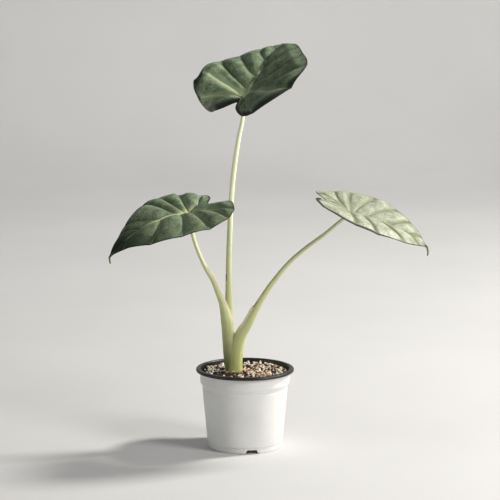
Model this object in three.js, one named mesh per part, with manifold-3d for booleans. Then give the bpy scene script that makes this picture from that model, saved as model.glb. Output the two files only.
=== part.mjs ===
// Potted regal shield alocasia: three shield leaves on tall leaf stalks, rising from one
// sheathing base out of a round nursery pot filled with a gritty potting mix.
// Units are millimetres. +Z is up, the origin is the centre of the pot's underside, and
// -Y is the front: the side that the plant is looked at from.
import * as THREE from "three";
import { mergeVertices } from "three/addons/utils/BufferGeometryUtils.js";
import Module from "manifold-3d";

const wasm = await Module();
wasm.setup();

// Clearance between pieces that touch.
const GAP = 0.3;

// Pot: a thin-walled thermoformed nursery pot.
const POT_HEIGHT = 98;
const POT_SEGMENTS = 48;
const RIM_RADIUS = 60;
const RIM_DEPTH = 3.8;
const RIM_TOP_RADIUS = 55;
const COLLAR_RADIUS = 54.8;
const COLLAR_BOTTOM = 76;
const WALL_TOP_RADIUS = 52.2;
const FOOT_RADIUS = 45;
const FOOT_BAND = 6.5;
const WALL = 1.2;
const CHANNEL_HEIGHT = 5;
const CHANNEL_INNER = 31;
const CHANNEL_OUTER = 41;
const NOTCH_COUNT = 3;
const NOTCH_WIDTH = 17;
const NOTCH_TOP_WIDTH = 12;
const NOTCH_HEIGHT = 4.8;
const NOTCH_ANGLE = -79;
const DRAIN_RADIUS = 3.6;
const DRAIN_CIRCLE = 36.2;

// Potting mix.
const SOIL_LEVEL = 90;
const SOIL_SEGMENTS = 36;
const SOIL_WAVE = 0.35;

// Rootstock: the short underground stem and its main roots.
const CROWN = { x: -15, y: 6.5, top: 79, radius: 10, depth: 34 };
const ROOT_COUNT = 7;
const ROOT_RADIUS = 1.7;
const ROOT_TIP_RADIUS = 0.9;
const ROOT_SPREAD = 27;
const ROOT_FLOOR = 17;

// Leaf stalks: points of the centreline as [x, y, z, radius], from the crown up.
// The lower part of each is the sheath that wraps the next younger stalk.
const STALKS = {
  top: [
    [-15, 6.5, 79.4, 5.2],
    [-15.4, 6.5, 91, 5.4],
    [-17.4, 6.4, 127, 5.4],
    [-18.8, 6.2, 156, 5.2],
    [-19.8, 6.3, 181, 4.4],
    [-20, 6.6, 204, 3.6],
    [-19.7, 7, 232, 3.4],
    [-18.3, 8, 269, 3.2],
    [-16.5, 9, 307, 3.1],
    [-12.8, 11, 344, 2.9],
    [-7.1, 13, 381, 2.6],
    [-3.4, 14.6, 398, 2.4],
  ],
  left: [
    [-16.2, 6.5, 79.4, 7.7],
    [-16.4, 6.5, 91, 7.9],
    [-18.6, 6.2, 115, 8.1],
    [-20.2, 5.6, 135, 7.7],
    [-22.6, 5, 156, 6.6],
    [-27.2, 3.8, 177, 4.6],
    [-32, 2.2, 189, 3.6],
    [-38.6, 0, 206, 3.1],
    [-47, -2.6, 221, 2.8],
    [-58, -6.4, 247, 2.5],
    [-64.4, -9.4, 270, 2.4],
  ],
  right: [
    [-13.4, 6.5, 79.4, 9.8],
    [-13, 6.5, 91, 10.2],
    [-12.3, 6, 109, 9.4],
    [-9.2, 5, 127, 8.4],
    [-4.6, 3.6, 139, 7],
    [3.6, 1.6, 152, 5.4],
    [12.6, -0.4, 170, 4.5],
    [21.3, -2.2, 185.5, 3.8],
    [32.1, -4.4, 202.4, 3.3],
    [53.8, -8.4, 229.8, 2.8],
    [73, -11.2, 247.4, 2.6],
    [97, -14.6, 266, 2.4],
    [113, -17, 280, 2.3],
  ],
};
const STALK_AROUND = 14;
const STALK_ALONG = 26;
const STALK_TOP_RADIUS = 2.1;
const STALK_INSET = 0.4;

// Leaf blades. Each blade is a flat shield, described by u along the midrib (towards the
// tip) and v across it (towards its left), that is then bent in space.
//   length, left, right        reach of the tip and of the two halves
//   lobeLeft, lobeRight        reach of the two rear lobes
//   fullness                   half widths at 80, 58 and 33 % of the length, at 70 % and
//                              96 % of the lobes, and the depth of the notch between them
//   at, heading, pitch, roll   where the stalk meets it, and how it faces (degrees)
//   droop, droopMore           fall of the midrib (degrees per 100 mm, and per 100 mm squared)
//   twist, sway                turn of the blade along the midrib, and its sideways curve
//   lobeDroop, lobeSway        the same for the lobes behind the stalk
//   fold, curl, curlMore       rise at the midrib and fall across each half [left, right]
//   lobeCurl                   extra fall across each lobe [left, right]
//   dip                        depth of the hollow over the stalk
//   tail, hook                 length of the drip tip, and how fast it turns down
//   veins                      side veins, each [start on the midrib, u and v of its end]
//   lobeVeins                  veins of the lobes, each from the stalk, in u and v
const BLADES = {
  top: {
    at: [-2.3, 15.3, 432.1], heading: 52, pitch: 31.3, roll: 0.7,
    twist: 0, sway: 14.9,
    droop: -23, droopMore: 36.7, lobeDroop: 46.2, lobeSway: -60.4,
    fold: [4.3, 2.3], curl: [-8.3, -19.2], curlMore: [-26.5, -5], lobeCurl: [140.3, -19],
    dip: 6.2, length: 120.8, left: 73.7, right: 81.4,
    lobeLeft: 36.3, lobeRight: 32.4,
    fullness: {
      left: [0.31, 0.6, 0.96, 0.94, 0.47, 0.38],
      right: [0.36, 0.62, 0.94, 0.87, 0.67, 0.43],
    },
    tail: 10, hook: 300,
    veins: [
      [10, 54, 60], [34, 74, 44], [63, 96, 27], [88, 110, 13],
      [0, -2, -74], [14, 20, -72], [34, 43, -66], [56, 66, -48], [80, 91, -28],
    ],
    lobeVeins: [[25, 70], [-13, 68], [-28, 44], [-33, 22], [-31, -38]],
  },
  left: {
    at: [-67.5, -13.1, 294.2], heading: 200.3, pitch: -9, roll: -10.5,
    twist: -9.8, sway: -4,
    droop: 23.2, droopMore: 15.9, lobeDroop: -43.9, lobeSway: 14.2,
    fold: [-3.8, -5.9], curl: [-2.2, -6.7], curlMore: [-4.9, -13.6], lobeCurl: [-13.9, 14.3],
    dip: 3.6, length: 113.4, left: 66.2, right: 67.7,
    lobeLeft: 45.7, lobeRight: 39,
    fullness: {
      left: [0.25, 0.59, 0.83, 0.89, 0.53, 0.52],
      right: [0.24, 0.56, 0.86, 0.88, 0.58, 0.5],
    },
    tail: 10, hook: 420,
    veins: [
      [0, -2, 63], [12, 30, 56], [36, 64, 37], [60, 86, 19],
      [0, -10, -64], [8, 19, -62], [24, 46, -52], [46, 70, -34], [70, 92, -16],
    ],
    lobeVeins: [[-45, 30], [-26, 52], [-34, -51], [-40, -26]],
  },
  right: {
    at: [126.5, -19.4, 296], heading: -3.5, pitch: -16.7, roll: 10.6,
    twist: 18.5, sway: 2.5,
    droop: 6.8, droopMore: 16.8, lobeDroop: -15.1, lobeSway: -45.9,
    fold: [-2.2, 3.5], curl: [-4.3, 7.2], curlMore: [-12.7, -24.8], lobeCurl: [-13.3, -16.6],
    dip: 3.8, length: 103.6, left: 64, right: 56.2,
    lobeLeft: 54.9, lobeRight: 38.9,
    fullness: {
      left: [0.32, 0.61, 0.87, 0.91, 0.49, 0.55],
      right: [0.35, 0.59, 0.84, 0.91, 0.47, 0.47],
    },
    tail: 13, hook: 420,
    veins: [
      [0, -8, 62], [3, 25, 60], [12, 50, 47], [34, 70, 33], [56, 86, 18],
      [0, 12, -54], [14, 39, -45], [36, 68, -28], [58, 87, -14],
    ],
    lobeVeins: [[-46, 33], [-30, 52], [-34, -27], [-14, -52]],
  },
};
const BLADE_AROUND = 48;
const BLADE_RINGS = 8;
const BLADE_THICKNESS = 1;
// Between the sunken veins the blade bulges up like a quilt.
const QUILT_HEIGHT = 2.4;
const QUILT_REACH = 7;
// On the underside the midrib and the lobe ribs stand out.
const RIB_HEIGHT = 1.2;
const RIB_REACH = 3;
const DIP_REACH = 12;
const MIDRIB_SINK = 1.2;
const MIDRIB_REACH = 5;

// Loose grains lying on the mix.
const GRAIN_KINDS = [
  { name: "perlite", count: 12, size: 2.1, detail: 1, colour: 0xe9e6dc, from: 70, to: 250, seed: 5 },
  { name: "pumice", count: 8, size: 1.9, detail: 0, colour: 0xc9ab88, from: -80, to: 75, seed: 11 },
  { name: "bark", count: 6, size: 2.3, detail: 0, colour: 0x6b4630, from: -150, to: 30, seed: 23 },
];
const GRAIN_RING = [20, 47];
const GRAIN_SPACING = 5.6;

const COLOURS = {
  pot: 0xe9e9e6,
  mix: 0x4a3a2c,
  root: 0xb9a27c,
  stalk: 0xb7bd83,
  blade: { top: 0x3f5236, left: 0x3b4f35, right: 0xb9c19c },
};

const degrees = THREE.MathUtils.degToRad;
const group = new THREE.Group();

function addMesh(name, geometry, colour, roughness) {
  const material = new THREE.MeshStandardMaterial({ color: colour, roughness, metalness: 0 });
  const mesh = new THREE.Mesh(geometry, material);
  mesh.name = name;
  group.add(mesh);
  return mesh;
}

// A closed surface keeps only its positions, with shared corners joined.
function welded(geometry) {
  const bare = geometry.clone();
  bare.deleteAttribute("normal");
  bare.deleteAttribute("uv");
  return mergeVertices(bare, 1e-4);
}

function toSolid(geometry) {
  const joined = welded(geometry);
  const vertProperties = Float32Array.from(joined.attributes.position.array);
  const triVerts = Uint32Array.from(joined.index.array);
  return new wasm.Manifold(new wasm.Mesh({ numProp: 3, vertProperties, triVerts }));
}

function toGeometry(solid) {
  const mesh = solid.getMesh();
  const geometry = new THREE.BufferGeometry();
  geometry.setAttribute("position", new THREE.BufferAttribute(mesh.vertProperties, 3));
  geometry.setIndex(new THREE.BufferAttribute(mesh.triVerts, 1));
  geometry.computeVertexNormals();
  return geometry;
}

// Moves every vertex of a geometry by a function of its position.
function moved(geometry, place) {
  const bare = welded(geometry);
  const position = bare.attributes.position;
  const point = new THREE.Vector3();
  for (let i = 0; i < position.count; i += 1) {
    point.fromBufferAttribute(position, i);
    const to = place(point);
    position.setXYZ(i, to.x, to.y, to.z);
  }
  bare.computeVertexNormals();
  return bare;
}

// A lathe turns about Y; the pot and its filling stand along Z.
function turned(profile, segments) {
  const points = profile.map(([radius, height]) => new THREE.Vector2(radius, height));
  return new THREE.LatheGeometry(points, segments).rotateX(Math.PI / 2);
}

function seededRandom(seed) {
  let state = seed;
  return () => {
    state = (state * 16807) % 2147483647;
    return state / 2147483647;
  };
}

// Pot.

function potProfile() {
  const rimInner = RIM_RADIUS - WALL;
  const underRim = POT_HEIGHT - RIM_DEPTH;
  return [
    [0, 0],
    [CHANNEL_INNER - 1.5, 0],
    [CHANNEL_INNER + 1, CHANNEL_HEIGHT],
    [CHANNEL_OUTER, CHANNEL_HEIGHT],
    [CHANNEL_OUTER + 1.6, 0],
    [FOOT_RADIUS - 0.8, 0],
    [FOOT_RADIUS, 0.8],
    [FOOT_RADIUS + 0.5, FOOT_BAND],
    [FOOT_RADIUS + 0.9, FOOT_BAND + 0.7],
    [WALL_TOP_RADIUS, COLLAR_BOTTOM - 1.4],
    [COLLAR_RADIUS - 0.5, COLLAR_BOTTOM + 3],
    [COLLAR_RADIUS, COLLAR_BOTTOM + 4.5],
    [COLLAR_RADIUS + 0.2, underRim],
    [COLLAR_RADIUS + 0.4, POT_HEIGHT - 1.8],
    [rimInner - 0.5, POT_HEIGHT - 1.8],
    [rimInner, underRim + 0.2],
    [RIM_RADIUS - 0.4, underRim],
    [RIM_RADIUS, underRim + 0.9],
    [RIM_RADIUS, POT_HEIGHT - 1.2],
    [RIM_RADIUS - 0.8, POT_HEIGHT - 0.3],
    [RIM_RADIUS - 2.2, POT_HEIGHT],
    [RIM_TOP_RADIUS, POT_HEIGHT],
    [RIM_TOP_RADIUS - 1.1, POT_HEIGHT - 1],
    [COLLAR_RADIUS - WALL, COLLAR_BOTTOM + 5],
    [COLLAR_RADIUS - WALL - 0.6, COLLAR_BOTTOM + 3.4],
    [WALL_TOP_RADIUS - WALL, COLLAR_BOTTOM - 1],
    [FOOT_RADIUS - 0.6, FOOT_BAND + 1],
    [FOOT_RADIUS - 1.6, CHANNEL_HEIGHT + WALL],
    [CHANNEL_INNER + 0.3, CHANNEL_HEIGHT + WALL],
    [CHANNEL_INNER - 2.2, WALL],
    [0, WALL],
  ];
}

function notchGeometry(angle) {
  const outline = new THREE.Shape([
    new THREE.Vector2(-NOTCH_WIDTH / 2, -1),
    new THREE.Vector2(NOTCH_WIDTH / 2, -1),
    new THREE.Vector2(NOTCH_TOP_WIDTH / 2, NOTCH_HEIGHT),
    new THREE.Vector2(-NOTCH_TOP_WIDTH / 2, NOTCH_HEIGHT),
  ]);
  const depth = FOOT_RADIUS + 3 - (CHANNEL_OUTER - 1);
  const notch = new THREE.ExtrudeGeometry(outline, { depth, bevelEnabled: false });
  notch.translate(0, 0, CHANNEL_OUTER - 1);
  notch.rotateX(Math.PI / 2);
  notch.rotateZ(degrees(angle) + Math.PI / 2);
  return notch;
}

function drainGeometry(angle) {
  const hole = new THREE.CylinderGeometry(DRAIN_RADIUS, DRAIN_RADIUS, 6, 16);
  hole.rotateX(Math.PI / 2);
  const turn = degrees(angle);
  hole.translate(DRAIN_CIRCLE * Math.cos(turn), DRAIN_CIRCLE * Math.sin(turn), CHANNEL_HEIGHT);
  return hole;
}

let pot = toSolid(turned(potProfile(), POT_SEGMENTS));
for (let i = 0; i < NOTCH_COUNT; i += 1) {
  const angle = NOTCH_ANGLE + (360 / NOTCH_COUNT) * i;
  pot = pot.subtract(toSolid(notchGeometry(angle)));
  pot = pot.subtract(toSolid(drainGeometry(angle)));
}
addMesh("pot", toGeometry(pot), COLOURS.pot, 0.4);

// Leaf stalks.

// A round tube along a curve, thinning as its points say. `grow` widens it all over.
function stalkGeometry(points, end, grow) {
  const line = new THREE.CatmullRomCurve3(
    [...points.map(([x, y, z]) => new THREE.Vector3(x, y, z)), end.point],
    false,
    "centripetal",
  );
  const radii = [...points.map((point) => point[3]), end.radius];
  const frames = line.computeFrenetFrames(STALK_ALONG, false);
  const tube = new THREE.CylinderGeometry(1, 1, 1, STALK_AROUND, STALK_ALONG);
  return moved(tube, (vertex) => {
    const along = vertex.y + 0.5;
    const step = Math.round(along * STALK_ALONG);
    const t = line.getUtoTmapping(along);
    const span = t * (radii.length - 1);
    const from = Math.min(Math.floor(span), radii.length - 2);
    const radius = THREE.MathUtils.lerp(radii[from], radii[from + 1], span - from) + grow;
    const centre = line.getPoint(t);
    if (step === 0) {
      centre.addScaledVector(frames.tangents[0], -grow);
    }
    if (step === STALK_ALONG) {
      centre.addScaledVector(frames.tangents[step], grow);
    }
    centre.addScaledVector(frames.normals[step], vertex.x * radius);
    centre.addScaledVector(frames.binormals[step], -vertex.z * radius);
    return centre;
  });
}

// Leaf blades.

const SUM_STEPS = 16;

// Mean of a function over the way from 0 to `reach`.
function meanOver(reach, value) {
  let sum = 0;
  for (let i = 0; i < SUM_STEPS; i += 1) {
    sum += value((reach * (i + 0.5)) / SUM_STEPS);
  }
  return sum / SUM_STEPS;
}

// Forward, left and upward directions of the blade where the stalk meets it.
function bladeFrame(blade) {
  const heading = degrees(blade.heading);
  const pitch = degrees(blade.pitch);
  const forward = new THREE.Vector3(
    Math.cos(heading) * Math.cos(pitch),
    Math.sin(heading) * Math.cos(pitch),
    Math.sin(pitch),
  );
  const left = new THREE.Vector3(-Math.sin(heading), Math.cos(heading), 0);
  left.applyAxisAngle(forward, degrees(blade.roll));
  return { forward, left, up: forward.clone().cross(left) };
}

// Lateral veins bow from the midrib to their ends; lobe veins start at the stalk.
function veinCurves(blade) {
  const flat = (u, v) => new THREE.Vector2(u, v);
  const laterals = blade.veins.map(([start, u, v]) => {
    const bend = flat(start + 0.3 * (u - start), 0.6 * v);
    return new THREE.QuadraticBezierCurve(flat(start, 0), bend, flat(u, v));
  });
  const lobes = blade.lobeVeins.map(([u, v]) => {
    return new THREE.QuadraticBezierCurve(flat(0, 0), flat(0.55 * u, 0.42 * v), flat(u, v));
  });
  return [...laterals, ...lobes];
}

function distanceToPath(point, path) {
  const toPoint = new THREE.Vector2();
  const edge = new THREE.Vector2();
  let nearest = Infinity;
  for (let i = 0; i < path.length - 1; i += 1) {
    edge.subVectors(path[i + 1], path[i]);
    toPoint.subVectors(point, path[i]);
    const along = THREE.MathUtils.clamp(toPoint.dot(edge) / edge.lengthSq(), 0, 1);
    nearest = Math.min(nearest, toPoint.addScaledVector(edge, -along).length());
  }
  return nearest;
}

function bladeSurface(blade) {
  const { forward, left, up } = bladeFrame(blade);
  const root = new THREE.Vector3(...blade.at);
  const paths = veinCurves(blade).map((curve) => curve.getPoints(10));
  const hookStart = (0.97 * blade.length) / 100;

  const droopAt = (x) => {
    if (x < 0) {
      return -blade.lobeDroop * x;
    }
    const hook = blade.hook * Math.max(0, x - hookStart);
    return -(blade.droop * x + blade.droopMore * x * x + hook);
  };
  const swayAt = (x) => (x > 0 ? blade.sway * x : -blade.lobeSway * x);

  const relief = (u, v) => {
    const flat = new THREE.Vector2(u, v);
    const midrib = u > 0 ? Math.abs(v) : flat.length();
    const vein = Math.min(midrib, ...paths.map((path) => distanceToPath(flat, path)));
    const quilt = QUILT_HEIGHT * (0.7 - Math.exp(-vein / QUILT_REACH));
    const sink = u > 0 ? MIDRIB_SINK * Math.exp(-Math.abs(v) / MIDRIB_REACH) : 0;
    return quilt - sink - blade.dip * Math.exp(-flat.length() / DIP_REACH);
  };

  const ribAt = (u, v) => {
    const flat = new THREE.Vector2(u, v);
    const lobes = paths.slice(blade.veins.length).map((path) => distanceToPath(flat, path));
    const nearest = Math.min(u > 0 ? Math.abs(v) : flat.length(), ...lobes);
    return RIB_HEIGHT * Math.exp(-((nearest / RIB_REACH) ** 2));
  };

  const pointAt = (u, v) => {
    const x = u / 100;
    const side = v > 0 ? 0 : 1;
    const lobeReach = side === 0 ? blade.lobeLeft : blade.lobeRight;
    const rear = THREE.MathUtils.clamp(-u / lobeReach, 0, 1);
    const curl = blade.curl[side] + blade.lobeCurl[side] * rear;
    const curlMore = blade.curlMore[side];
    const bank = (y) => degrees(blade.fold[side] - curl * y - curlMore * y * y);
    const pitchAt = (y) => degrees(droopAt(y));
    const yawAt = (y) => degrees(swayAt(y));
    const ahead = u * meanOver(x, (y) => Math.cos(pitchAt(y)) * Math.cos(yawAt(y)));
    const aside = u * meanOver(x, (y) => Math.cos(pitchAt(y)) * Math.sin(yawAt(y)));
    const above = u * meanOver(x, (y) => Math.sin(pitchAt(y)));
    const pitch = pitchAt(x);
    const yaw = yawAt(x);
    const tangent = new THREE.Vector3(
      Math.cos(pitch) * Math.cos(yaw),
      Math.cos(pitch) * Math.sin(yaw),
      Math.sin(pitch),
    );
    const across = new THREE.Vector3(-Math.sin(yaw), Math.cos(yaw), 0);
    across.applyAxisAngle(tangent, degrees(blade.twist * x));
    const normal = tangent.clone().cross(across);
    const width = Math.abs(v) / 100;
    const out = v * meanOver(width, (y) => Math.cos(bank(y)));
    const lift = Math.abs(v) * meanOver(width, (y) => Math.sin(bank(y))) + relief(u, v);
    const local = new THREE.Vector3(ahead, aside, above);
    local.addScaledVector(across, out).addScaledVector(normal, lift);
    return root.clone()
      .addScaledVector(forward, local.x)
      .addScaledVector(left, local.y)
      .addScaledVector(up, local.z);
  };

  const normalAt = (u, v) => {
    const step = 0.8;
    const along = pointAt(u + step, v).sub(pointAt(u - step, v));
    const across = pointAt(u, v + step).sub(pointAt(u, v - step));
    return along.cross(across).normalize();
  };

  return { pointAt, normalAt, ribAt };
}

// Half of the blade's edge, from the drip tip round to the notch behind the stalk.
function edgeCurve(blade, side) {
  const [near, middle, wide, shoulder, lobe, notch] = blade.fullness[side];
  const rear = side === "left" ? blade.lobeLeft : blade.lobeRight;
  const reach = blade[side];
  const long = blade.length;
  const points = [
    [long + blade.tail, 0],
    [long + blade.tail * 0.5, 0.7],
    [long + 0.5, 1.6],
    [long * 0.93, reach * near * 0.38],
    [long * 0.8, reach * near],
    [long * 0.58, reach * middle],
    [long * 0.33, reach * wide],
    [long * 0.06, reach * 0.97],
    [-rear * 0.3, reach],
    [-rear * 0.7, reach * shoulder],
    [-rear * 0.96, reach * lobe],
    [-rear * 0.97, reach * lobe * 0.55],
    [-rear * 0.78, reach * 0.12],
    [-rear * notch, 0],
  ];
  return new THREE.SplineCurve(points.map(([u, v]) => new THREE.Vector2(u, v)));
}

// The blade is a thin closed shield: a sphere whose pole lies over the stalk, whose
// equator is the edge of the leaf, and whose two halves are the upper and lower faces.
function bladeGeometry(blade, grow) {
  const surface = bladeSurface(blade);
  const edges = { left: edgeCurve(blade, "left"), right: edgeCurve(blade, "right") };
  const sphere = new THREE.SphereGeometry(1, BLADE_AROUND, BLADE_RINGS * 2);
  return moved(sphere, (vertex) => {
    const polar = Math.acos(THREE.MathUtils.clamp(vertex.y, -1, 1)) / (Math.PI / 2);
    const reach = polar > 1 ? 2 - polar : polar;
    const turn = Math.atan2(vertex.z, -vertex.x) / Math.PI;
    const side = turn >= 0 ? "left" : "right";
    const edge = edges[side].getPoint(Math.abs(turn));
    const u = edge.x * reach;
    const v = (side === "left" ? edge.y : -edge.y) * reach;
    const half = (BLADE_THICKNESS / 2) * Math.min(1, (1 - reach) * BLADE_RINGS * 0.6);
    const place = surface.pointAt(u, v);
    const normal = surface.normalAt(u, v);
    const upper = polar < 1 - 1e-6;
    const lower = polar > 1 + 1e-6;
    if (upper) {
      place.addScaledVector(normal, half + grow);
    }
    if (lower) {
      const rib = surface.ribAt(u, v) * Math.min(1, 2 * (1 - reach));
      place.addScaledVector(normal, -half - rib - grow);
    }
    return place;
  });
}

// The stalk runs into the thickness of the blade, which then cuts it off.
function stalkEnd(blade) {
  const surface = bladeSurface(blade);
  const point = surface.pointAt(0, 0).addScaledVector(surface.normalAt(0, 0), -STALK_INSET);
  return { point, radius: STALK_TOP_RADIUS };
}

function largestPiece(solid) {
  return solid.decompose().reduce((best, piece) => (piece.volume() > best.volume() ? piece : best));
}

const stalks = {};
for (const name of Object.keys(STALKS)) {
  const end = stalkEnd(BLADES[name]);
  const clearance = toSolid(bladeGeometry(BLADES[name], GAP));
  const exact = toSolid(stalkGeometry(STALKS[name], end, 0));
  stalks[name] = {
    exact: largestPiece(exact.subtract(clearance)),
    grown: toSolid(stalkGeometry(STALKS[name], end, GAP)),
  };
  addMesh(`leaf_blade_${name}`, bladeGeometry(BLADES[name], 0), COLOURS.blade[name], 0.5);
}
// Each older sheath is hollowed by the younger stalks inside it.
const topStalk = stalks.top.exact;
const leftStalk = stalks.left.exact.subtract(stalks.top.grown);
const rightStalk = stalks.right.exact.subtract(stalks.top.grown).subtract(stalks.left.grown);
addMesh("leaf_stalk_top", toGeometry(topStalk), COLOURS.stalk, 0.5);
addMesh("leaf_stalk_left", toGeometry(largestPiece(leftStalk)), COLOURS.stalk, 0.5);
addMesh("leaf_stalk_right", toGeometry(largestPiece(rightStalk)), COLOURS.stalk, 0.5);

// Rootstock.

function crownGeometry(grow) {
  const { radius, top, depth } = CROWN;
  const shape = [
    [0, 0],
    [0.85, 0],
    [1, -0.12],
    [0.94, -0.3],
    [1.02, -0.42],
    [0.9, -0.6],
    [0.78, -0.8],
    [0.4, -0.97],
    [0, -1],
  ];
  // The lathe's profile runs upwards from the bottom.
  const profile = shape.reverse().map(([r, h]) => {
    const widened = r === 0 ? 0 : r * radius + grow;
    const shift = h < -0.5 ? -grow : grow;
    return [widened, h * depth + shift];
  });
  return turned(profile, 14).translate(CROWN.x, CROWN.y, top);
}

// A root leaves the side of the crown, arches out and runs down towards the pot's floor.
function rootGeometry(index, grow) {
  const random = seededRandom(31 + index * 7);
  const turn = (2 * Math.PI * (index + 0.35 * random())) / ROOT_COUNT;
  const heightAtCrown = CROWN.top - CROWN.depth * (0.35 + 0.4 * random());
  const spread = ROOT_SPREAD * (0.8 + 0.2 * random());
  const out = (distance, z, sway) => {
    const x = CROWN.x * Math.max(0, 1 - distance / ROOT_SPREAD) + distance * Math.cos(turn + sway);
    const y = CROWN.y * Math.max(0, 1 - distance / ROOT_SPREAD) + distance * Math.sin(turn + sway);
    return new THREE.Vector3(x, y, z);
  };
  const line = new THREE.CatmullRomCurve3([
    out(CROWN.radius * 0.4, heightAtCrown + 1, 0),
    out(CROWN.radius * 1.3, heightAtCrown, 0.05),
    out(spread * 0.8, heightAtCrown - 12, 0.2),
    out(spread, (heightAtCrown + ROOT_FLOOR) / 2 - 4, 0.1),
    out(spread * 0.9, ROOT_FLOOR + 4 * random(), -0.15),
  ]);
  const steps = 8;
  const frames = line.computeFrenetFrames(steps, false);
  return moved(new THREE.CylinderGeometry(1, 1, 1, 6, steps), (vertex) => {
    const along = vertex.y + 0.5;
    const step = Math.round(along * steps);
    const radius = THREE.MathUtils.lerp(ROOT_RADIUS, ROOT_TIP_RADIUS, along) + grow;
    const centre = line.getPointAt(along);
    if (step === steps) {
      centre.addScaledVector(frames.tangents[step], grow);
    }
    centre.addScaledVector(frames.normals[step], vertex.x * radius);
    centre.addScaledVector(frames.binormals[step], -vertex.z * radius);
    return centre;
  });
}

function rootstock(grow) {
  let whole = toSolid(crownGeometry(grow));
  for (let i = 0; i < ROOT_COUNT; i += 1) {
    whole = whole.add(toSolid(rootGeometry(i, grow)));
  }
  return whole;
}
addMesh("rootstock", toGeometry(rootstock(0)), COLOURS.root, 0.8);

// Potting mix.

// The watered surface of the mix is slightly uneven.
function soilHeight(x, y) {
  const wave = Math.sin(x * 0.09 + 0.7) * Math.cos(y * 0.08) + 0.5 * Math.sin(y * 0.11 + x * 0.04);
  return SOIL_LEVEL + SOIL_WAVE * wave;
}

function mixGeometry() {
  const wallTop = COLLAR_RADIUS - WALL - GAP;
  const profile = [
    [0, WALL + GAP],
    [CHANNEL_INNER - 2.6, WALL + GAP],
    [CHANNEL_INNER - 0.1, CHANNEL_HEIGHT + WALL + GAP],
    [FOOT_RADIUS - 2.1, CHANNEL_HEIGHT + WALL + GAP],
    [FOOT_RADIUS - 1.1, FOOT_BAND + 1.6],
    [WALL_TOP_RADIUS - WALL - GAP - 0.2, COLLAR_BOTTOM - 0.6],
    [wallTop - 0.9, COLLAR_BOTTOM + 4],
    [wallTop - 0.1, COLLAR_BOTTOM + 6],
    [wallTop - 0.1, SOIL_LEVEL - 1],
    [wallTop - 1.2, SOIL_LEVEL],
    [44, SOIL_LEVEL],
    [33, SOIL_LEVEL],
    [22, SOIL_LEVEL],
    [11, SOIL_LEVEL],
    [0, SOIL_LEVEL],
  ];
  return moved(turned(profile, SOIL_SEGMENTS), (vertex) => {
    const point = vertex.clone();
    if (point.z > SOIL_LEVEL - 0.5) {
      point.z = soilHeight(point.x, point.y);
    }
    return point;
  });
}

let mix = toSolid(mixGeometry()).subtract(rootstock(GAP));
for (const stalk of Object.values(stalks)) {
  mix = mix.subtract(stalk.grown);
}
addMesh("potting_mix", toGeometry(largestPiece(mix)), COLOURS.mix, 1);

// Loose grains.

// A rough pebble: a subdivided icosahedron with its corners pushed in and out.
function grainGeometry({ size, detail }, random) {
  const pebble = welded(new THREE.IcosahedronGeometry(1, detail));
  const stretch = new THREE.Vector3(1 + 0.3 * random(), 0.8 + 0.3 * random(), 0.6 + 0.15 * random());
  return moved(pebble, (vertex) => {
    const push = size * (0.86 + 0.2 * random());
    return vertex.clone().multiply(stretch).multiplyScalar(push);
  });
}

const placed = [];
for (const kind of GRAIN_KINDS) {
  const random = seededRandom(kind.seed);
  let made = 0;
  while (made < kind.count) {
    const turn = degrees(kind.from + (kind.to - kind.from) * random());
    const distance = THREE.MathUtils.lerp(...GRAIN_RING, Math.sqrt(random()));
    const x = distance * Math.cos(turn);
    const y = distance * Math.sin(turn);
    const clearOfGrains = placed.every((other) => Math.hypot(other.x - x, other.y - y) > GRAIN_SPACING);
    const clearOfStem = Math.hypot(x - CROWN.x, y - CROWN.y) > CROWN.radius + 5;
    if (clearOfGrains && clearOfStem) {
      const geometry = grainGeometry(kind, random);
      geometry.computeBoundingBox();
      made += 1;
      const number = String(made).padStart(2, "0");
      const grain = addMesh(`${kind.name}_grain_${number}`, geometry, kind.colour, 0.95);
      grain.rotation.z = 2 * Math.PI * random();
      grain.position.set(x, y, soilHeight(x, y) - geometry.boundingBox.min.z + GAP);
      placed.push({ x, y });
    }
  }
}

export default group;
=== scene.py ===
"""Potted regal shield alocasia: three quilted leaves on stalks in a white nursery pot."""
import math

import bmesh
import bpy
import numpy as np
from bpy.props import FloatProperty, FloatVectorProperty, IntProperty, PointerProperty
from mathutils import Euler, Matrix, Vector, noise


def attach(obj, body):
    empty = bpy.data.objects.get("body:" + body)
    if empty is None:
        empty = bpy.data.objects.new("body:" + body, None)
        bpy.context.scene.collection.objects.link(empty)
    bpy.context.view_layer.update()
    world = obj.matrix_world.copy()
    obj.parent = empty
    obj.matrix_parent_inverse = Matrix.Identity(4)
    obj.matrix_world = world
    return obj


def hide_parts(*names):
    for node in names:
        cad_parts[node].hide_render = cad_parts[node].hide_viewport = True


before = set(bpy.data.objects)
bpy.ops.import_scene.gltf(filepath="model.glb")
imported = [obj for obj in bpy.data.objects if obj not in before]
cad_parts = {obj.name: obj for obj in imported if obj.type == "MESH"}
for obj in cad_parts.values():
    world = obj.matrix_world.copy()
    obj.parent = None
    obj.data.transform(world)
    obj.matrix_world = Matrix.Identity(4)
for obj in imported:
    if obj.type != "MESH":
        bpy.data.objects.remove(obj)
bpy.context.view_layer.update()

bl_info = {
    "name": "Potted regal shield alocasia",
    "version": (1, 0, 0),
    "blender": (4, 5, 0),
    "location": "View3D > Sidebar > Alocasia",
    "description": "Builds the leaves, stalks, pot and potting mix around the packed part",
    "category": "Add Mesh",
}

MM = 0.001
ROOT = "root"


# Small helpers.

def linear(red, green, blue):
    """A screen colour of 0 to 255 as linear light, the way shaders and properties hold it."""
    shares = [value / 255 for value in (red, green, blue)]
    return tuple(s / 12.92 if s <= 0.04045 else ((s + 0.055) / 1.055) ** 2.4 for s in shares)


def smooth(low, high, value):
    """0 below low, 1 above high, eased between them."""
    share = np.clip((value - low) / (high - low), 0, 1)
    return share * share * (3 - 2 * share)


# Mesh helpers.

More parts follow.
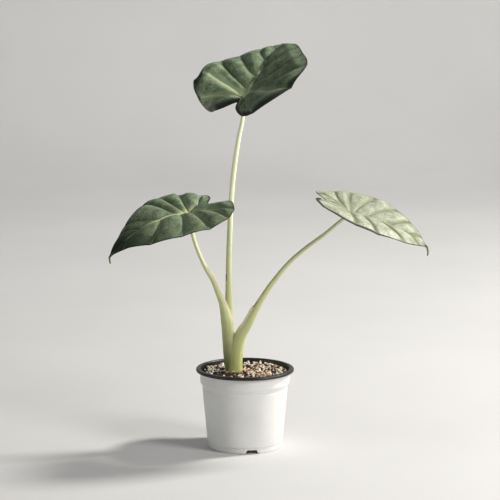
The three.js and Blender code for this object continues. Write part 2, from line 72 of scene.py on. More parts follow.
def move_grid(bm, points, maps=None, values=None):
    """Adds a grid of faces and moves it onto points, an array of rows, columns and 3 coordinates in mm.

    maps gives a pair of numbers for each point and UV map, values one number for each vertex layer.
    """
    rows, columns = points.shape[:2]
    made = bmesh.ops.create_grid(bm, x_segments=columns - 1, y_segments=rows - 1, size=1)
    place = {}
    for vert in made["verts"]:
        column = round((vert.co.x + 1) / 2 * (columns - 1))
        row = round((vert.co.y + 1) / 2 * (rows - 1))
        place[vert] = (row, column)
    layers = {key: bm.verts.layers.float[key] for key in values or {}}
    faces = set()
    for vert, (row, column) in place.items():
        vert.co = points[row, column] * MM
        faces.update(vert.link_faces)
        for key, layer in layers.items():
            vert[layer] = values[key][row, column]
    for key, pair in (maps or {}).items():
        layer = bm.loops.layers.uv[key]
        for face in faces:
            for loop in face.loops:
                loop[layer].uv = pair[place[loop.vert]]
    return list(faces)


def close_up(bm, distance=0.0005):
    """Joins vertices that share a place, drops what that leaves without area, and turns faces outward."""
    bmesh.ops.remove_doubles(bm, verts=bm.verts, dist=distance * MM)
    bmesh.ops.dissolve_degenerate(bm, edges=bm.edges, dist=distance * MM)
    bmesh.ops.recalc_face_normals(bm, faces=bm.faces)


def finished(bm, name, materials, replaced, flat_shaded=False):
    """Makes the object of a piece, gives it its materials and hands it to the frame."""
    mesh = bpy.data.meshes.new(name)
    for face in bm.faces:
        face.smooth = not flat_shaded
    bm.to_mesh(mesh)
    bm.free()
    piece = bpy.data.objects.new(name, mesh)
    bpy.context.scene.collection.objects.link(piece)
    for material in materials:
        mesh.materials.append(material)
    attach(piece, ROOT)
    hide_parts(*replaced)
    return piece


# Shader helpers.

class Value:
    """What a shader node gives out. Numbers among them are added, multiplied and so on as usual."""

    def __init__(self, tree, socket):
        self.tree = tree
        self.socket = socket

    def __add__(self, other):
        return calc("ADD", self, other)

    def __sub__(self, other):
        return calc("SUBTRACT", self, other)

    def __rsub__(self, other):
        return calc("SUBTRACT", other, self)

    def __mul__(self, other):
        return calc("MULTIPLY", self, other)

    def __truediv__(self, other):
        return calc("DIVIDE", self, other)

    def __pow__(self, other):
        return calc("POWER", self, other)

    def __abs__(self):
        return calc("ABSOLUTE", self)


def give(socket, value):
    """Links a Value into a socket, or sets the socket's own value."""
    if isinstance(value, Value):
        value.tree.links.new(value.socket, socket)
    elif socket.type == "RGBA" and len(value) == 3:
        socket.default_value = (*value, 1)
    else:
        socket.default_value = value


def node(tree, kind, values, outputs=0, **settings):
    """Adds a shader node and gives its inputs their values, by name or number.

    Returns the output asked for by name or number, or a list where outputs is a tuple.
    """
    made = tree.nodes.new("ShaderNode" + kind)
    for key, value in settings.items():
        setattr(made, key, value)
    for key, value in values.items():
        give(made.inputs[key], value)
    if isinstance(outputs, tuple):
        return [Value(tree, made.outputs[key]) for key in outputs]
    return Value(tree, made.outputs[outputs])


def tree_of(*values):
    """The node tree of the first Value among plain numbers and colours."""
    return next(value.tree for value in values if isinstance(value, Value))


def calc(operation, *values):
    return node(tree_of(*values), "Math", dict(enumerate(values)), operation=operation)


def between(value, low, high, start=0, end=1):
    """Eases value from start at low to end at high."""
    values = dict(enumerate((value, low, high, start, end)))
    return node(value.tree, "MapRange", values, interpolation_type="SMOOTHSTEP")


def blend(share, first, second, mode="MIX"):
    """The first colour where share is 0 and the second, mixed in by mode, where it is 1."""
    values = {0: share, 6: first, 7: second}
    return node(tree_of(*values.values()), "Mix", values, 2, data_type="RGBA", blend_type=mode)


def scaled(vector, scale):
    return node(vector.tree, "Mapping", {"Vector": vector, "Scale": scale})


def grain(vector, scale, detail, roughness):
    values = {"Vector": vector, "Scale": scale, "Detail": detail, "Roughness": roughness}
    return node(vector.tree, "TexNoise", values, "Fac")


def parts(vector):
    return node(vector.tree, "SeparateXYZ", {"Vector": vector}, (0, 1, 2))


def object_place(tree):
    return node(tree, "TexCoord", {}, "Object")


def own_map(tree, name):
    return node(tree, "UVMap", {}, uv_map=name)


def new_group(name, inputs, outputs):
    """A shader node group with its sockets, named under their kinds.

    Returns its tree, a function that gives an input's Value, and the sockets of its result.
    """
    tree = bpy.data.node_groups.new(name, "ShaderNodeTree")
    for way, sockets in (("INPUT", inputs), ("OUTPUT", outputs)):
        for kind, names in sockets.items():
            for key in names:
                tree.interface.new_socket(key, in_out=way, socket_type="NodeSocket" + kind)
    source = tree.nodes.new("NodeGroupInput")
    result = tree.nodes.new("NodeGroupOutput")
    return tree, lambda key: Value(tree, source.outputs[key]), result.inputs


def new_material(name, **settings):
    """A material with a Principled shader; returns the material, its tree and the shader."""
    material = bpy.data.materials.new(name)
    material.use_nodes = True
    tree = material.node_tree
    shader = tree.nodes["Principled BSDF"]
    for key, value in settings.items():
        give(shader.inputs[key.replace("_", " ")], value)
    return material, tree, shader


def dress(shader, colour, roughness, height, distance, strength):
    """Gives a shader its colour and roughness, and bumps that are distance mm high where height is 1."""
    give(shader.inputs["Base Color"], colour)
    give(shader.inputs["Roughness"], roughness)
    bump = node(height.tree, "Bump", {"Height": height, "Distance": distance * MM, "Strength": strength})
    give(shader.inputs["Normal"], bump)


# Leaf blades.

# Distances are mm and angles degrees. "at" is where the stalk joins, "heading", "pitch" and "roll" turn
# the flat blade there. "twist", "sway" and "droop" bend it along its length, for each 100 mm, and
# "droop_more" for each 100 mm squared; "hook" bends the drip tip down. "lobe_droop" and "lobe_sway" bend
# the part behind the stalk. "fold", "curl" and "curl_more" bend each half across, and "lobe_curl" adds to
# the curl towards the back. "dip" sinks the blade round the stalk. In a pair the left half comes first.
# "length", "width" and "lobe" are the reach of the flat margin forward, sideways and back, "tail" the
# length of the drip tip, and "fullness" how full the margin is from the tip to the back and how deep
# its notch is; "inner" is how far a lobe bulges into the notch. "waves" is the height of the
# unevenness and "crease" how sharp the valleys are.
# A vein: where it leaves the midrib, how far round the margin it ends, its two bending points,
# the depth of its valley and half the width of its pale line.
BLADES = {
    "top": {
        "at": (-2.3, 15.3, 432.1), "heading": 52, "pitch": 31.3, "roll": 0.7, "twist": 0,
        "sway": 14.9, "droop": -23, "droop_more": 36.7, "lobe_droop": 46.2, "lobe_sway": -60.4,
        "fold": (4.3, 2.3), "curl": (-8.3, -19.2), "curl_more": (-26.5, -5), "lobe_curl": (140.3, -19),
        "dip": 6.2, "waves": (1, 1.9), "crease": 0.38, "inner": (0.55, 0.55),
        "length": 120.8, "tail": 10, "hook": 300, "width": (73.7, 81.4), "lobe": (36.3, 32.4),
        "fullness": ((0.31, 0.6, 0.96, 0.94, 0.47, 0.38), (0.36, 0.62, 0.94, 0.87, 0.67, 0.43)),
        "veins": (
            (
                (92, 0.237, 98, 4, 105, 7, 0.6, 0.3), (63, 0.302, 73, 10, 85, 17, 1, 0.8),
                (34, 0.375, 42, 18, 60, 27, 1, 0.8), (10, 0.425, 23, 22, 36, 42, 1, 0.9),
                (0, 0.5, 5, 25, 14, 49, 0.35, 2.4), (0, 0.62, -9, 24, -14, 47, 0.5, 1.8),
                (0, 0.73, -6, 17, -20, 44, 0.7, 1.2),
            ),
            (
                (86, 0.245, 93, 6, 101, 10, 0.5, 0.3), (42, 0.34, 58, 11, 74, 22, 0.8, 0.6),
                (15, 0.4, 31, 19, 45, 40, 0.7, 0.6), (4, 0.463, 14, 27, 29, 50, 0.8, 0.7),
                (0, 0.565, 7, 27, 2, 54, 1, 1.4), (0, 0.738, -19, 16, -24, 37, 0.8, 1),
                (0, 0.833, -9, 14, -27, 17, 0.6, 0.8),
            ),
        ),
    },
    "left": {
        "at": (-67.5, -13.1, 294.2), "heading": 200.3, "pitch": -9, "roll": -10.5, "twist": -9.8,
        "sway": -4, "droop": 23.2, "droop_more": 15.9, "lobe_droop": -43.9, "lobe_sway": 14.2,
        "fold": (-3.8, -5.9), "curl": (-2.2, -6.7), "curl_more": (-4.9, -13.6), "lobe_curl": (-13.9, 14.3),
        "dip": 3.6, "waves": (1, 1), "crease": 0.38, "inner": (0.55, 0.55),
        "length": 113.4, "tail": 10, "hook": 420, "width": (66.2, 67.7), "lobe": (45.7, 39),
        "fullness": ((0.25, 0.59, 0.83, 0.89, 0.53, 0.52), (0.24, 0.56, 0.86, 0.88, 0.58, 0.5)),
        "veins": (
            (
                (78, 0.278, 84, 4, 90, 9, 0.6, 0.3), (38, 0.383, 43, 16, 52, 29, 1, 1),
                (14, 0.48, 11, 21, 21, 39, 1, 1.1), (0, 0.568, -2, 22, -4, 44, 1, 1.3),
                (0, 0.657, -23, 15, -23, 39, 1, 1.4), (0, 0.725, -17, 13, -31, 28, 0.9, 1.2),
                (0, 0.875, -9, 15, -27, 12, 0.7, 1),
            ),
            (
                (66, 0.307, 74, 6, 82, 11, 0.5, 0.3), (37, 0.352, 53, 6, 63, 19, 0.7, 0.5),
                (16, 0.448, 25, 19, 26, 40, 1, 0.8), (4, 0.507, 12, 21, 10, 43, 1, 1),
                (0, 0.608, -1, 23, -9, 45, 1, 1.3), (0, 0.745, -18, 8, -27, 28, 0.9, 1.3),
                (0, 0.858, -12, 7, -24, 13, 0.6, 0.9),
            ),
        ),
    },
    "right": {
        "at": (126.5, -19.4, 296), "heading": -3.5, "pitch": -16.7, "roll": 10.6, "twist": 18.5,
        "sway": 2.5, "droop": 6.8, "droop_more": 16.8, "lobe_droop": -15.1, "lobe_sway": -45.9,
        "fold": (-2.2, 3.5), "curl": (-4.3, 7.2), "curl_more": (-12.7, -24.8), "lobe_curl": (-13.3, -16.6),
        "dip": 3.8, "waves": (0.9, 1), "crease": 0.85, "inner": (0.5, 0.25),
        "length": 103.6, "tail": 13, "hook": 420, "width": (64, 56.2), "lobe": (54.9, 38.9),
        "fullness": ((0.32, 0.61, 0.87, 0.91, 0.49, 0.55), (0.35, 0.59, 0.84, 0.91, 0.47, 0.47)),
        "veins": (
            (
                (78, 0.245, 83, 4, 88, 8, 0.5, 0.3), (50, 0.335, 59, 9, 67, 17, 0.7, 0.5),
                (22, 0.393, 31, 17, 44, 29, 0.9, 0.7), (5, 0.475, 10, 20, 17, 40, 1, 0.9),
                (0, 0.583, -1, 22, -10, 42, 1, 1), (0, 0.705, -16, 17, -29, 36, 1, 1),
                (0, 0.885, -13, 6, -41, 26, 0.6, 0.8),
            ),
            (
                (80, 0.242, 84, 4, 89, 7, 0.5, 0.3), (37, 0.335, 48, 11, 61, 19, 0.9, 0.5),
                (16, 0.445, 22, 16, 30, 31, 1, 0.7), (0, 0.525, 2, 18, 8, 35, 1, 0.9),
                (0, 0.675, -11, 16, -16, 36, 0.9, 0.9), (0, 0.775, -8, 14, -24, 18, 0.6, 0.8),
            ),
        ),
    },
}
# Numbers for the leaf skin group. "Shade" paints shade on the panels beside the veins, where the quilted
# panels dip into the vein valleys, "Tip shade" darkens the tip, and "Side shade" paints shade on the left
# half, or the right half where it is below 0, the half that is turned away from the light. "Dark edge" is
# the width of a band of painted shade along the rolled margin, back from "Edge reach": on the left where
# "Edge side" is 1, on the right where it is -1 and on both halves where it is 0.
BLADE_SKINS = {
    "top": {
        "Vein strength": 0.95, "Base glow": 0.6, "Shade": 0.25, "Tip shade": 0.25, "Side shade": -0.35,
        "Dark edge": 0.13, "Edge side": 0, "Edge reach": -0.05,
    },
    "left": {
        "Vein strength": 0.95, "Base glow": 0.85, "Shade": 0.5, "Tip shade": 1, "Side shade": 0.15,
        "Dark edge": 0.03, "Edge side": -1, "Edge reach": 2,
    },
    "right": {
        "Vein strength": 0.45, "Base glow": 0.3, "Shade": 0.95, "Tip shade": 0, "Side shade": 0.08,
        "Dark edge": 0.05, "Edge side": -1, "Edge reach": 0.25,
    },
}
# Rows from vein to vein, steps from the midrib to the margin, and steps in which a bend is added up.
ROWS_PER_PANEL = 18
STEPS_ALONG = 76
BEND_SAMPLES = 12
# In mm: the ribs below, the rounding of the edge, and how far the quilting is sunk on the whole.
MAIN_RIB_HEIGHT, MAIN_RIB_WIDTH = 1.5, 1.9
SIDE_RIB_HEIGHT = 0.75
ROUNDED_EDGE = 1.3
RELIEF_SINK = 0.72
VERT_LAYERS = ("relief", "body", "rib")
# The maps of a blade and what each holds, in tenths of a metre.
BLADE_MAPS = {
    "flat": ("u", "v"), "vein": ("run", "gap"), "edge": ("midrib", "margin"), "size": ("pale", "pale"),
}


def through(points, share):
    """An even curve through points, for shares of 0 to 1 along them."""
    points = np.asarray(points, float)
    last = len(points) - 1
    place = share * last
    start = np.minimum(np.floor(place).astype(int), last)
    step = (place - start)[:, None]
    before = points[np.maximum(start - 1, 0)]
    first = points[start]
    second = points[np.minimum(start + 1, last)]
    after = points[np.minimum(start + 2, last)]
    enter = (second - before) / 2
    leave = (after - first) / 2
    return (
        (2 * first - 2 * second + enter + leave) * step ** 3
        + (3 * second - 3 * first - 2 * enter - leave) * step ** 2
        + enter * step + first
    )


def margin(blade, side, share):
    """Points on the margin of one half of a flat blade, from the drip tip to the notch."""
    near, middle, wide, shoulder, lobe, _ = blade["fullness"][side]
    length, tail = blade["length"], blade["tail"]
    width, rear = blade["width"][side], blade["lobe"][side]
    notch = blade["fullness"][0][5] * blade["lobe"][0]
    points = [
        (length + tail, 0), (length + tail / 2, 0.08), (length + 0.5, 0.32),
        (0.93 * length, 0.38 * near * width), (0.8 * length, near * width),
        (0.58 * length, middle * width), (0.33 * length, wide * width),
        (0.06 * length, 0.97 * width), (-0.3 * rear, width), (-0.7 * rear, shoulder * width),
        (-0.96 * rear, lobe * width), (-0.97 * rear, blade["inner"][side] * lobe * width),
        (-0.78 * rear, 0.12 * width), (-notch, 0),
    ]
    return through(points, share)


def eased_rows(table, place):
    """Values between the rows of a table, changing smoothly and never overshooting."""
    table = np.asarray(table, float)
    step = np.diff(table, axis=0)
    slope = np.zeros_like(table)
    agree = step[1:] * step[:-1] > 0
    total = np.where(agree, step[1:] + step[:-1], 1)
    slope[1:-1] = np.where(agree, 2 * step[1:] * step[:-1] / total, 0)
    slope[0], slope[-1] = step[0], step[-1]
    start = np.clip(place.astype(int), 0, len(table) - 2)
    share = (place - start)[:, None]
    rise, turn = share ** 2 * (3 - 2 * share), share * (1 - share)
    return (
        table[start] * (1 - rise) + table[start + 1] * rise
        + turn * (1 - share) * slope[start] - turn * share * slope[start + 1]
    )


def vein_table(blade, side):
    """All veins of a half blade, with the drip tip before them and the notch line after them."""
    length, tail = blade["length"], blade["tail"]
    notch = -blade["fullness"][0][5] * blade["lobe"][0]
    tip = (length, 0, length + tail / 3, 0, length + 2 * tail / 3, 0, 1, 0.3)
    gap = (0, 1, notch / 3, 0, 2 * notch / 3, 0, 0.3, 0.5)
    return [tip, *blade["veins"][side], gap]


def flat_points(blade, side, table, number, along):
    """Flat points at vein numbers and shares along them, as an array of rows, columns and 2."""
    held = eased_rows(table, number)
    start = np.stack([held[:, 0], np.zeros(len(number))], -1)
    ends = margin(blade, side, np.clip(held[:, 1], 0, 1))
    t = along[None, :, None]
    return (
        (1 - t) ** 3 * start[:, None] + 3 * (1 - t) ** 2 * t * held[:, None, 2:4]
        + 3 * (1 - t) * t ** 2 * held[:, None, 4:6] + t ** 3 * ends[:, None]
    )


def midrib_rows(blade):
    """Places along the midrib where rows of both halves start, tip first."""
    tables = [vein_table(blade, side) for side in (0, 1)]
    starts = sorted({row[0] for table in tables for row in table}, reverse=True)
    rows = [starts[0]]
    for upper, lower in zip(starts, starts[1:]):
        reach = max(abs(np.diff(vein_numbers(table, np.array([upper, lower])))[0]) for table in tables)
        count = max(2, round(reach * ROWS_PER_PANEL))
        rows += list(np.linspace(upper, lower, count + 1)[1:])
    return np.array(rows)


def vein_numbers(table, starts):
    """The vein number whose row starts at each place along the midrib."""
    last = next(i for i, row in enumerate(table) if row[0] == 0)
    fine = np.linspace(0, last, 40 * last + 1)
    held = eased_rows(table, fine)[:, 0]
    return np.interp(-starts, -held, fine)


def half_blade(blade, side, relief_height):
    """The flat points of a half blade with everything that is known at each of them."""
    table = vein_table(blade, side)
    shared = vein_numbers(table, midrib_rows(blade))
    first = round(shared[-1])
    last = len(table) - 1
    rest = np.linspace(first, last, (last - first) * ROWS_PER_PANEL + 1)[1:]
    number = np.concatenate([shared, rest])
    along = np.linspace(0, 1, STEPS_ALONG + 1)
    flat = flat_points(blade, side, table, number, along)

    above, below = np.minimum(number + 0.02, last), np.maximum(number - 0.02, 0)
    ahead, behind = (flat_points(blade, side, table, near, along) for near in (above, below))
    across = (ahead - behind) / (above - below)[:, None, None]
    forward = np.gradient(flat, along, axis=1)
    speed = np.linalg.norm(forward, axis=-1) + 1e-6
    spacing = np.abs(forward[..., 0] * across[..., 1] - forward[..., 1] * across[..., 0]) / speed

    pieces = np.linalg.norm(np.diff(flat, axis=1), axis=-1)
    run = np.concatenate([np.zeros((len(number), 1)), np.cumsum(pieces, axis=1)], axis=1)
    left_over = run[:, -1:] - run

    nearest = np.round(number).astype(int)
    share = number - np.floor(number)
    share = np.where(np.isclose(number, nearest), 0, share)
    gap = np.abs(number - nearest)[:, None] * spacing
    depth = np.interp(number, np.arange(last + 1), [row[6] for row in table])[:, None]
    crown = (4 * share * (1 - share))[:, None]
    inner = smooth(0, 15, left_over)
    sharp = blade["crease"] * (0.1 + 0.9 * inner)
    profile = sharp * (1 - np.exp(-gap / (4.6 - 2 * inner))) + (1 - sharp) * crown
    fullness = (1 - np.exp(-spacing / 11)) * (1 - np.exp(-run / 10)) * (0.2 + 0.8 * inner)
    relief = relief_height * fullness * (1 - depth * (1 - profile))
    waves = [[noise.noise(Vector((3.4 * n, 1.7 * a, side))) for a in along] for n in number]
    relief = relief + blade["waves"][side] * np.array(waves) * fullness

    pale = np.array([row[7] for row in table])[nearest][:, None]
    pale = pale * (1 - 0.5 * along[None, :])
    ribbed = np.array([0, *[1] * (last - 1), 0])[nearest][:, None]
    u, v = flat[..., 0], flat[..., 1]
    midrib = np.where(u > 0, v, np.hypot(u, v))
    main_rib = MAIN_RIB_HEIGHT * np.exp(-(midrib / MAIN_RIB_WIDTH) ** 2)
    main_rib = main_rib * np.clip(1.05 - u / blade["length"], 0.12, 1)
    side_rib = SIDE_RIB_HEIGHT * ribbed * (1 - along[None, :]) ** 0.7 * np.exp(-(gap / (0.5 + pale)) ** 2)
    rib = np.maximum(main_rib, side_rib * smooth(0.5, 4, run))
    body = np.sqrt(1 - (1 - np.clip(left_over / ROUNDED_EDGE, 0, 1)) ** 2)
    body = body * (0.1 + 0.9 * smooth(1, 9, np.hypot(u, v)))
    body = body * (1 - 0.6 * smooth(blade["length"] - 6, blade["length"] + 3, u))
    return {
        "u": u, "v": -v if side else v, "relief": relief, "rib": rib * body, "body": body,
        "run": run, "gap": gap, "midrib": midrib, "margin": left_over, "pale": pale,
    }


def bent_blade(blade, u, v, side):
    """Places flat blade points in space, in mm: droop, sway, twist, fold, curl and the hooked tip."""
    heading, pitch, roll = np.radians([blade["heading"], blade["pitch"], blade["roll"]])
    forward = np.array([
        math.cos(heading) * math.cos(pitch), math.sin(heading) * math.cos(pitch), math.sin(pitch),
    ])
    level = np.array([-math.sin(heading), math.cos(heading), 0])
    left = level * math.cos(roll) + np.cross(forward, level) * math.sin(roll)
    up = np.cross(forward, left)

    samples = (np.arange(BEND_SAMPLES) + 0.5) / BEND_SAMPLES
    hook_start = 0.97 * blade["length"] / 100

    def droop_at(x):
        hook = blade["hook"] * np.maximum(0, x - hook_start)
        ahead = blade["droop"] * x + blade["droop_more"] * x * x + hook
        return np.radians(np.where(x < 0, -blade["lobe_droop"] * x, -ahead))

    def sway_at(x):
        return np.radians(np.where(x > 0, blade["sway"] * x, -blade["lobe_sway"] * x))

    x = u / 100
    path = x[..., None] * samples
    droop, sway = droop_at(path), sway_at(path)
    ahead = u * (np.cos(droop) * np.cos(sway)).mean(-1)
    aside = u * (np.cos(droop) * np.sin(sway)).mean(-1)
    above = u * np.sin(droop).mean(-1)

    droop, sway = droop_at(x), sway_at(x)
    tangent = np.stack([np.cos(droop) * np.cos(sway), np.cos(droop) * np.sin(sway), np.sin(droop)], -1)
    flank = np.stack([-np.sin(sway), np.cos(sway), np.zeros_like(sway)], -1)
    rise = np.cross(tangent, flank)
    twist = np.radians(blade["twist"] * x)[..., None]
    across = flank * np.cos(twist) + rise * np.sin(twist)
    normal = np.cross(tangent, across)

    rear = np.clip(-u / blade["lobe"][side], 0, 1)
    curl = blade["curl"][side] + blade["lobe_curl"][side] * rear
    reach = (np.abs(v) / 100)[..., None] * samples
    bank = blade["fold"][side] - curl[..., None] * reach - blade["curl_more"][side] * reach ** 2
    bank = np.radians(bank)
    out = v * np.cos(bank).mean(-1)
    lift = np.abs(v) * np.sin(bank).mean(-1)
    lift = lift - np.where(u > 0, 0.6 * np.exp(-np.abs(v) / 5), 0)
    lift = lift - blade["dip"] * np.exp(-np.hypot(u, v) / 12)
    local = np.stack([ahead, aside, above], -1) + across * out[..., None] + normal * lift[..., None]
    return (
        np.array(blade["at"]) + local[..., :1] * forward + local[..., 1:2] * left + local[..., 2:] * up
    )


def build_blade(name, looks, materials):
    """A quilted blade: two half sheets joined along the midrib, then given a body and ribs."""
    blade = BLADES[name]
    bm = bmesh.new()
    for key in VERT_LAYERS:
        bm.verts.layers.float.new(key)
    for key in BLADE_MAPS:
        bm.loops.layers.uv.new(key)
    for side in (0, 1):
        half = half_blade(blade, side, looks.quilt_height / MM)
        points = bent_blade(blade, half["u"], half["v"], side)
        maps = {
            key: np.stack([half[first], half[second]], -1) / 100
            for key, (first, second) in BLADE_MAPS.items()
        }
        faces = move_grid(bm, points, maps, {key: half[key] for key in VERT_LAYERS})
        if side == 1:
            bmesh.ops.reverse_faces(bm, faces=faces)
    close_up(bm)
    up = sum((face.normal * face.calc_area() for face in bm.faces), Vector())
    if up.z < 0:
        bmesh.ops.reverse_faces(bm, faces=bm.faces)

    relief, body, rib = (bm.verts.layers.float[key] for key in VERT_LAYERS)
    bm.normal_update()
    for vert, normal in [(vert, vert.normal.copy()) for vert in bm.verts]:
        vert.co += normal * ((vert[relief] - RELIEF_SINK) * MM)
    bm.normal_update()

    copy = bmesh.ops.duplicate(bm, geom=bm.verts[:] + bm.edges[:] + bm.faces[:])["geom"]
    under_faces = [item for item in copy if isinstance(item, bmesh.types.BMFace)]
    under_verts = {item for item in copy if isinstance(item, bmesh.types.BMVert)}
    normals = {vert: vert.normal.copy() for vert in bm.verts}
    half_body = looks.thickness / 2
    for vert in bm.verts:
        if vert in under_verts:
            vert.co -= normals[vert] * (half_body * vert[body] + vert[rib] * MM)
        else:
            vert.co += normals[vert] * (half_body * vert[body])
    bmesh.ops.reverse_faces(bm, faces=under_faces)
    for face in under_faces:
        face.material_index = 1
    bmesh.ops.remove_doubles(bm, verts=bm.verts, dist=0.001 * MM)
    return finished(bm, "blade_" + name, materials, ["leaf_blade_" + name])


# Leaf stalks.

# Centre points and radius in mm, from inside the mix up to the blade.
STALKS = {
    "top": [
        (-15, 6.5, 79.4, 5.2), (-15.4, 6.5, 91, 5.2), (-18.3, 7, 127, 4.6), (-19.2, 6.8, 156, 4.8),
        (-19.8, 6.3, 181, 4.4), (-20, 6.6, 204, 3.6), (-19.7, 7, 232, 3.4), (-18.3, 8, 269, 3.2),
        (-16.5, 9, 307, 3.1), (-12.8, 11, 344, 2.9), (-7.1, 13, 381, 2.6), (-3.4, 14.6, 398, 2.4),
    ],
    "left": [
        (-16.2, 6.5, 79.4, 7.7), (-16.4, 6.5, 91, 7.9), (-18.6, 6.2, 115, 8.1), (-20.2, 5.6, 135, 7.7),
        (-22.2, 5, 156, 7.5), (-27.2, 3.8, 177, 4.6), (-32, 2.2, 189, 3.6), (-38.6, 0, 206, 3.1),
        (-47, -2.6, 221, 2.8), (-58, -6.4, 247, 2.5), (-64.4, -9.4, 270, 2.4),
    ],
    "right": [
        (-13.4, 6.5, 79.4, 9.8), (-13, 6.5, 91, 10.2), (-12.3, 6, 109, 9.4), (-9.2, 5, 127, 8.4),
        (-4.6, 3.6, 139, 7), (3.6, 1.6, 152, 5.4), (12.6, -0.4, 170, 4.5), (21.3, -2.2, 185.5, 3.8),
        (32.1, -4.4, 202.4, 3.3), (53.8, -8.4, 229.8, 2.8), (73, -11.2, 247.4, 2.6),
        (97, -14.6, 266, 2.4), (113, -17, 280, 2.3),
    ],
}
# The thin edge of the sheath on each stalk: the angle it stands at, seen round the stalk from the
# viewer's side, where it starts and ends in mm along the stalk, how far it stands out, its width.
SHEATHS = {"top": (200, 0, 60, 0, 1), "left": (62, 72, 152, 1.3, 0.2), "right": (-72, 50, 102, 2.2, 0.17)}
# Painted stripes: their angle, where they start and stop in tenths of a metre, and their strength.
PINK_EDGES = {"top": (200, 0, 0.5, 0), "left": (66, 0.72, 1.45, 1), "right": (-72, 0.55, 0.98, 0.7)}
DARK_STREAKS = {"top": (-60, 1.24, 1.33, 1), "left": (0, 0, 0.1, 0), "right": (-60, 0.98, 1.06, 0.6)}
STALK_RINGS = 170
STALK_SIDES = 56
# How many degrees a stalk's sides are drawn in towards its sheath's edge, and by what share of the
# radius its channel is sunk and its top flares.
SIDES_DRAWN_IN, CHANNEL_DEPTH, TOP_FLARE = 18.6, 0.16, 0.5


def stalk_line(points, count):
    """Centre points and radii at even steps along a smooth curve through the given points."""
    points = np.asarray(points, float)
    spot = points[:, :3]
    padded = np.vstack([2 * spot[0] - spot[1], spot, 2 * spot[-1] - spot[-2]])
    fine = np.linspace(0, len(points) - 1, 60 * len(points))
    start = np.minimum(fine.astype(int), len(points) - 2)
    share = (fine - start)[:, None]
    gaps = np.sqrt(np.linalg.norm(np.diff(padded, axis=0), axis=1))
    a, b, c, d = (padded[start + i] for i in range(4))
    before, here, after = (gaps[start + i][:, None] for i in range(3))
    enter = ((b - a) / before - (c - a) / (before + here) + (c - b) / here) * here
    leave = ((c - b) / here - (d - b) / (here + after) + (d - c) / after) * here
    curve = (
        (2 * share ** 3 - 3 * share ** 2 + 1) * b + (share ** 3 - 2 * share ** 2 + share) * enter
        + (3 * share ** 2 - 2 * share ** 3) * c + (share ** 3 - share ** 2) * leave
    )
    radius = np.interp(fine, np.arange(len(points)), points[:, 3])
    run = np.concatenate([[0], np.cumsum(np.linalg.norm(np.diff(curve, axis=0), axis=1))])
    even = np.linspace(0, run[-1], count)
    centre = np.stack([np.interp(even, run, curve[:, i]) for i in range(3)], -1)
    return centre, np.interp(even, run, radius), even


def build_stalk(name, material):
    """A stalk whose sides are drawn in towards its sheath's edge, flared where it meets the blade."""
    top = bent_blade(BLADES[name], np.zeros((1, 1)), np.zeros((1, 1)), 0)[0, 0]
    end = (*(top + (0, 0, -2.2)), 1.6)
    centre, radius, run = stalk_line([*STALKS[name], end], STALK_RINGS)
    tangent = np.gradient(centre, run, axis=0)
    tangent /= np.linalg.norm(tangent, axis=1)[:, None]
    viewer = np.array([0, -1.0, 0])
    front = viewer - (tangent @ viewer)[:, None] * tangent
    front /= np.linalg.norm(front, axis=1)[:, None]
    side = np.cross(tangent, front)

    where, start, stop, height, width = SHEATHS[name]
    turn = np.linspace(-180, 180, STALK_SIDES + 1)
    if height:
        turn = turn - SIDES_DRAWN_IN * np.sin(np.radians(turn - where))
    angle = np.radians(turn)[None, :]
    off = np.angle(np.exp(1j * (angle - np.radians(where))))
    fade = smooth(start, start + 24, run) * (1 - smooth(stop - 3.5, stop, run))
    spread = radius[:, None] * np.ones_like(angle)
    fibres = 0.035 * np.cos(9 * angle + 0.4 * np.sin(run / 40)[:, None])
    spread = spread * (1 + 0.3 * (fibres + 0.02 * np.cos(17 * angle + 1)))
    spread = spread + height * fade[:, None] * np.exp(-((off / width) ** 2))
    channel = CHANNEL_DEPTH * smooth(stop - 20, stop + 30, run)[:, None] * np.exp(-((off / 0.55) ** 2))
    spread = spread * (1 - channel * (height > 0))
    spread = spread * (1 + TOP_FLARE * smooth(run[-1] - 9, run[-1], run))[:, None]
    spread[0] = spread[-1] = 0
    points = (
        centre[:, None] + spread[..., None]
        * (np.cos(angle)[..., None] * front[:, None] + np.sin(angle)[..., None] * side[:, None])
    )
    bm = bmesh.new()
    bm.loops.layers.uv.new("skin")
    around = np.broadcast_to(angle / (2 * math.pi), spread.shape)
    along = np.broadcast_to(run[:, None] / 100, spread.shape)
    move_grid(bm, points, {"skin": np.stack([around, along], -1)})
    close_up(bm)
    return finished(bm, "stalk_" + name, [material], ["leaf_stalk_" + name])


# Pot.

# The notches in the foot, in degrees and mm: the first one's turn, their number and height, half the
# angle that each takes up and the angle in which its ends slope.
NOTCH_FIRST, NOTCHES, NOTCH_HEIGHT = -79, 3, 4.8
NOTCH_HALF, NOTCH_SLOPE = 10.55, 3
# In mm: how far the drain holes are from the axis and their radius, and the rounding of the wall's edges.
DRAIN_AT, DRAIN_RADIUS = 36.2, 3.6
EDGE_ROUNDING = 0.45
POT_STEPS, MIX_STEPS = 240, 180
# Radius and height in mm round the wall of the pot, outside first, then the inside going down.
POT_OUTSIDE = [
    (0, 0), (29.5, 0), (32, 5), (34, 5), (38.6, 5), (41, 5), (42.6, 0), (44.2, 0), (45, 0.9),
    (45.3, 6.4), (45.2, 7), (46.3, 7.7), (47.6, 21), (49.2, 39), (50.9, 56), (52.3, 73.2), (52, 74.6),
    (52.4, 76), (54.4, 80), (54.8, 81.4), (55, 90.4), (55.4, 96.2),
]
POT_RIM = [
    (58.3, 96.2), (58.7, 94.3), (59.5, 94.1), (60, 94.9), (60, 96.4), (59.5, 97.5), (57.9, 98),
    (55.2, 98), (54.3, 97),
]
POT_INSIDE = [
    (53.6, 90.5), (53.3, 81), (52.7, 79.4), (50.9, 75), (49.7, 56), (48, 39), (46.4, 21), (44.4, 7.6),
    (43.4, 6.2), (39, 6.2), (33.6, 6.2), (32.3, 6.2), (27.3, 1.2), (0, 1.2),
]
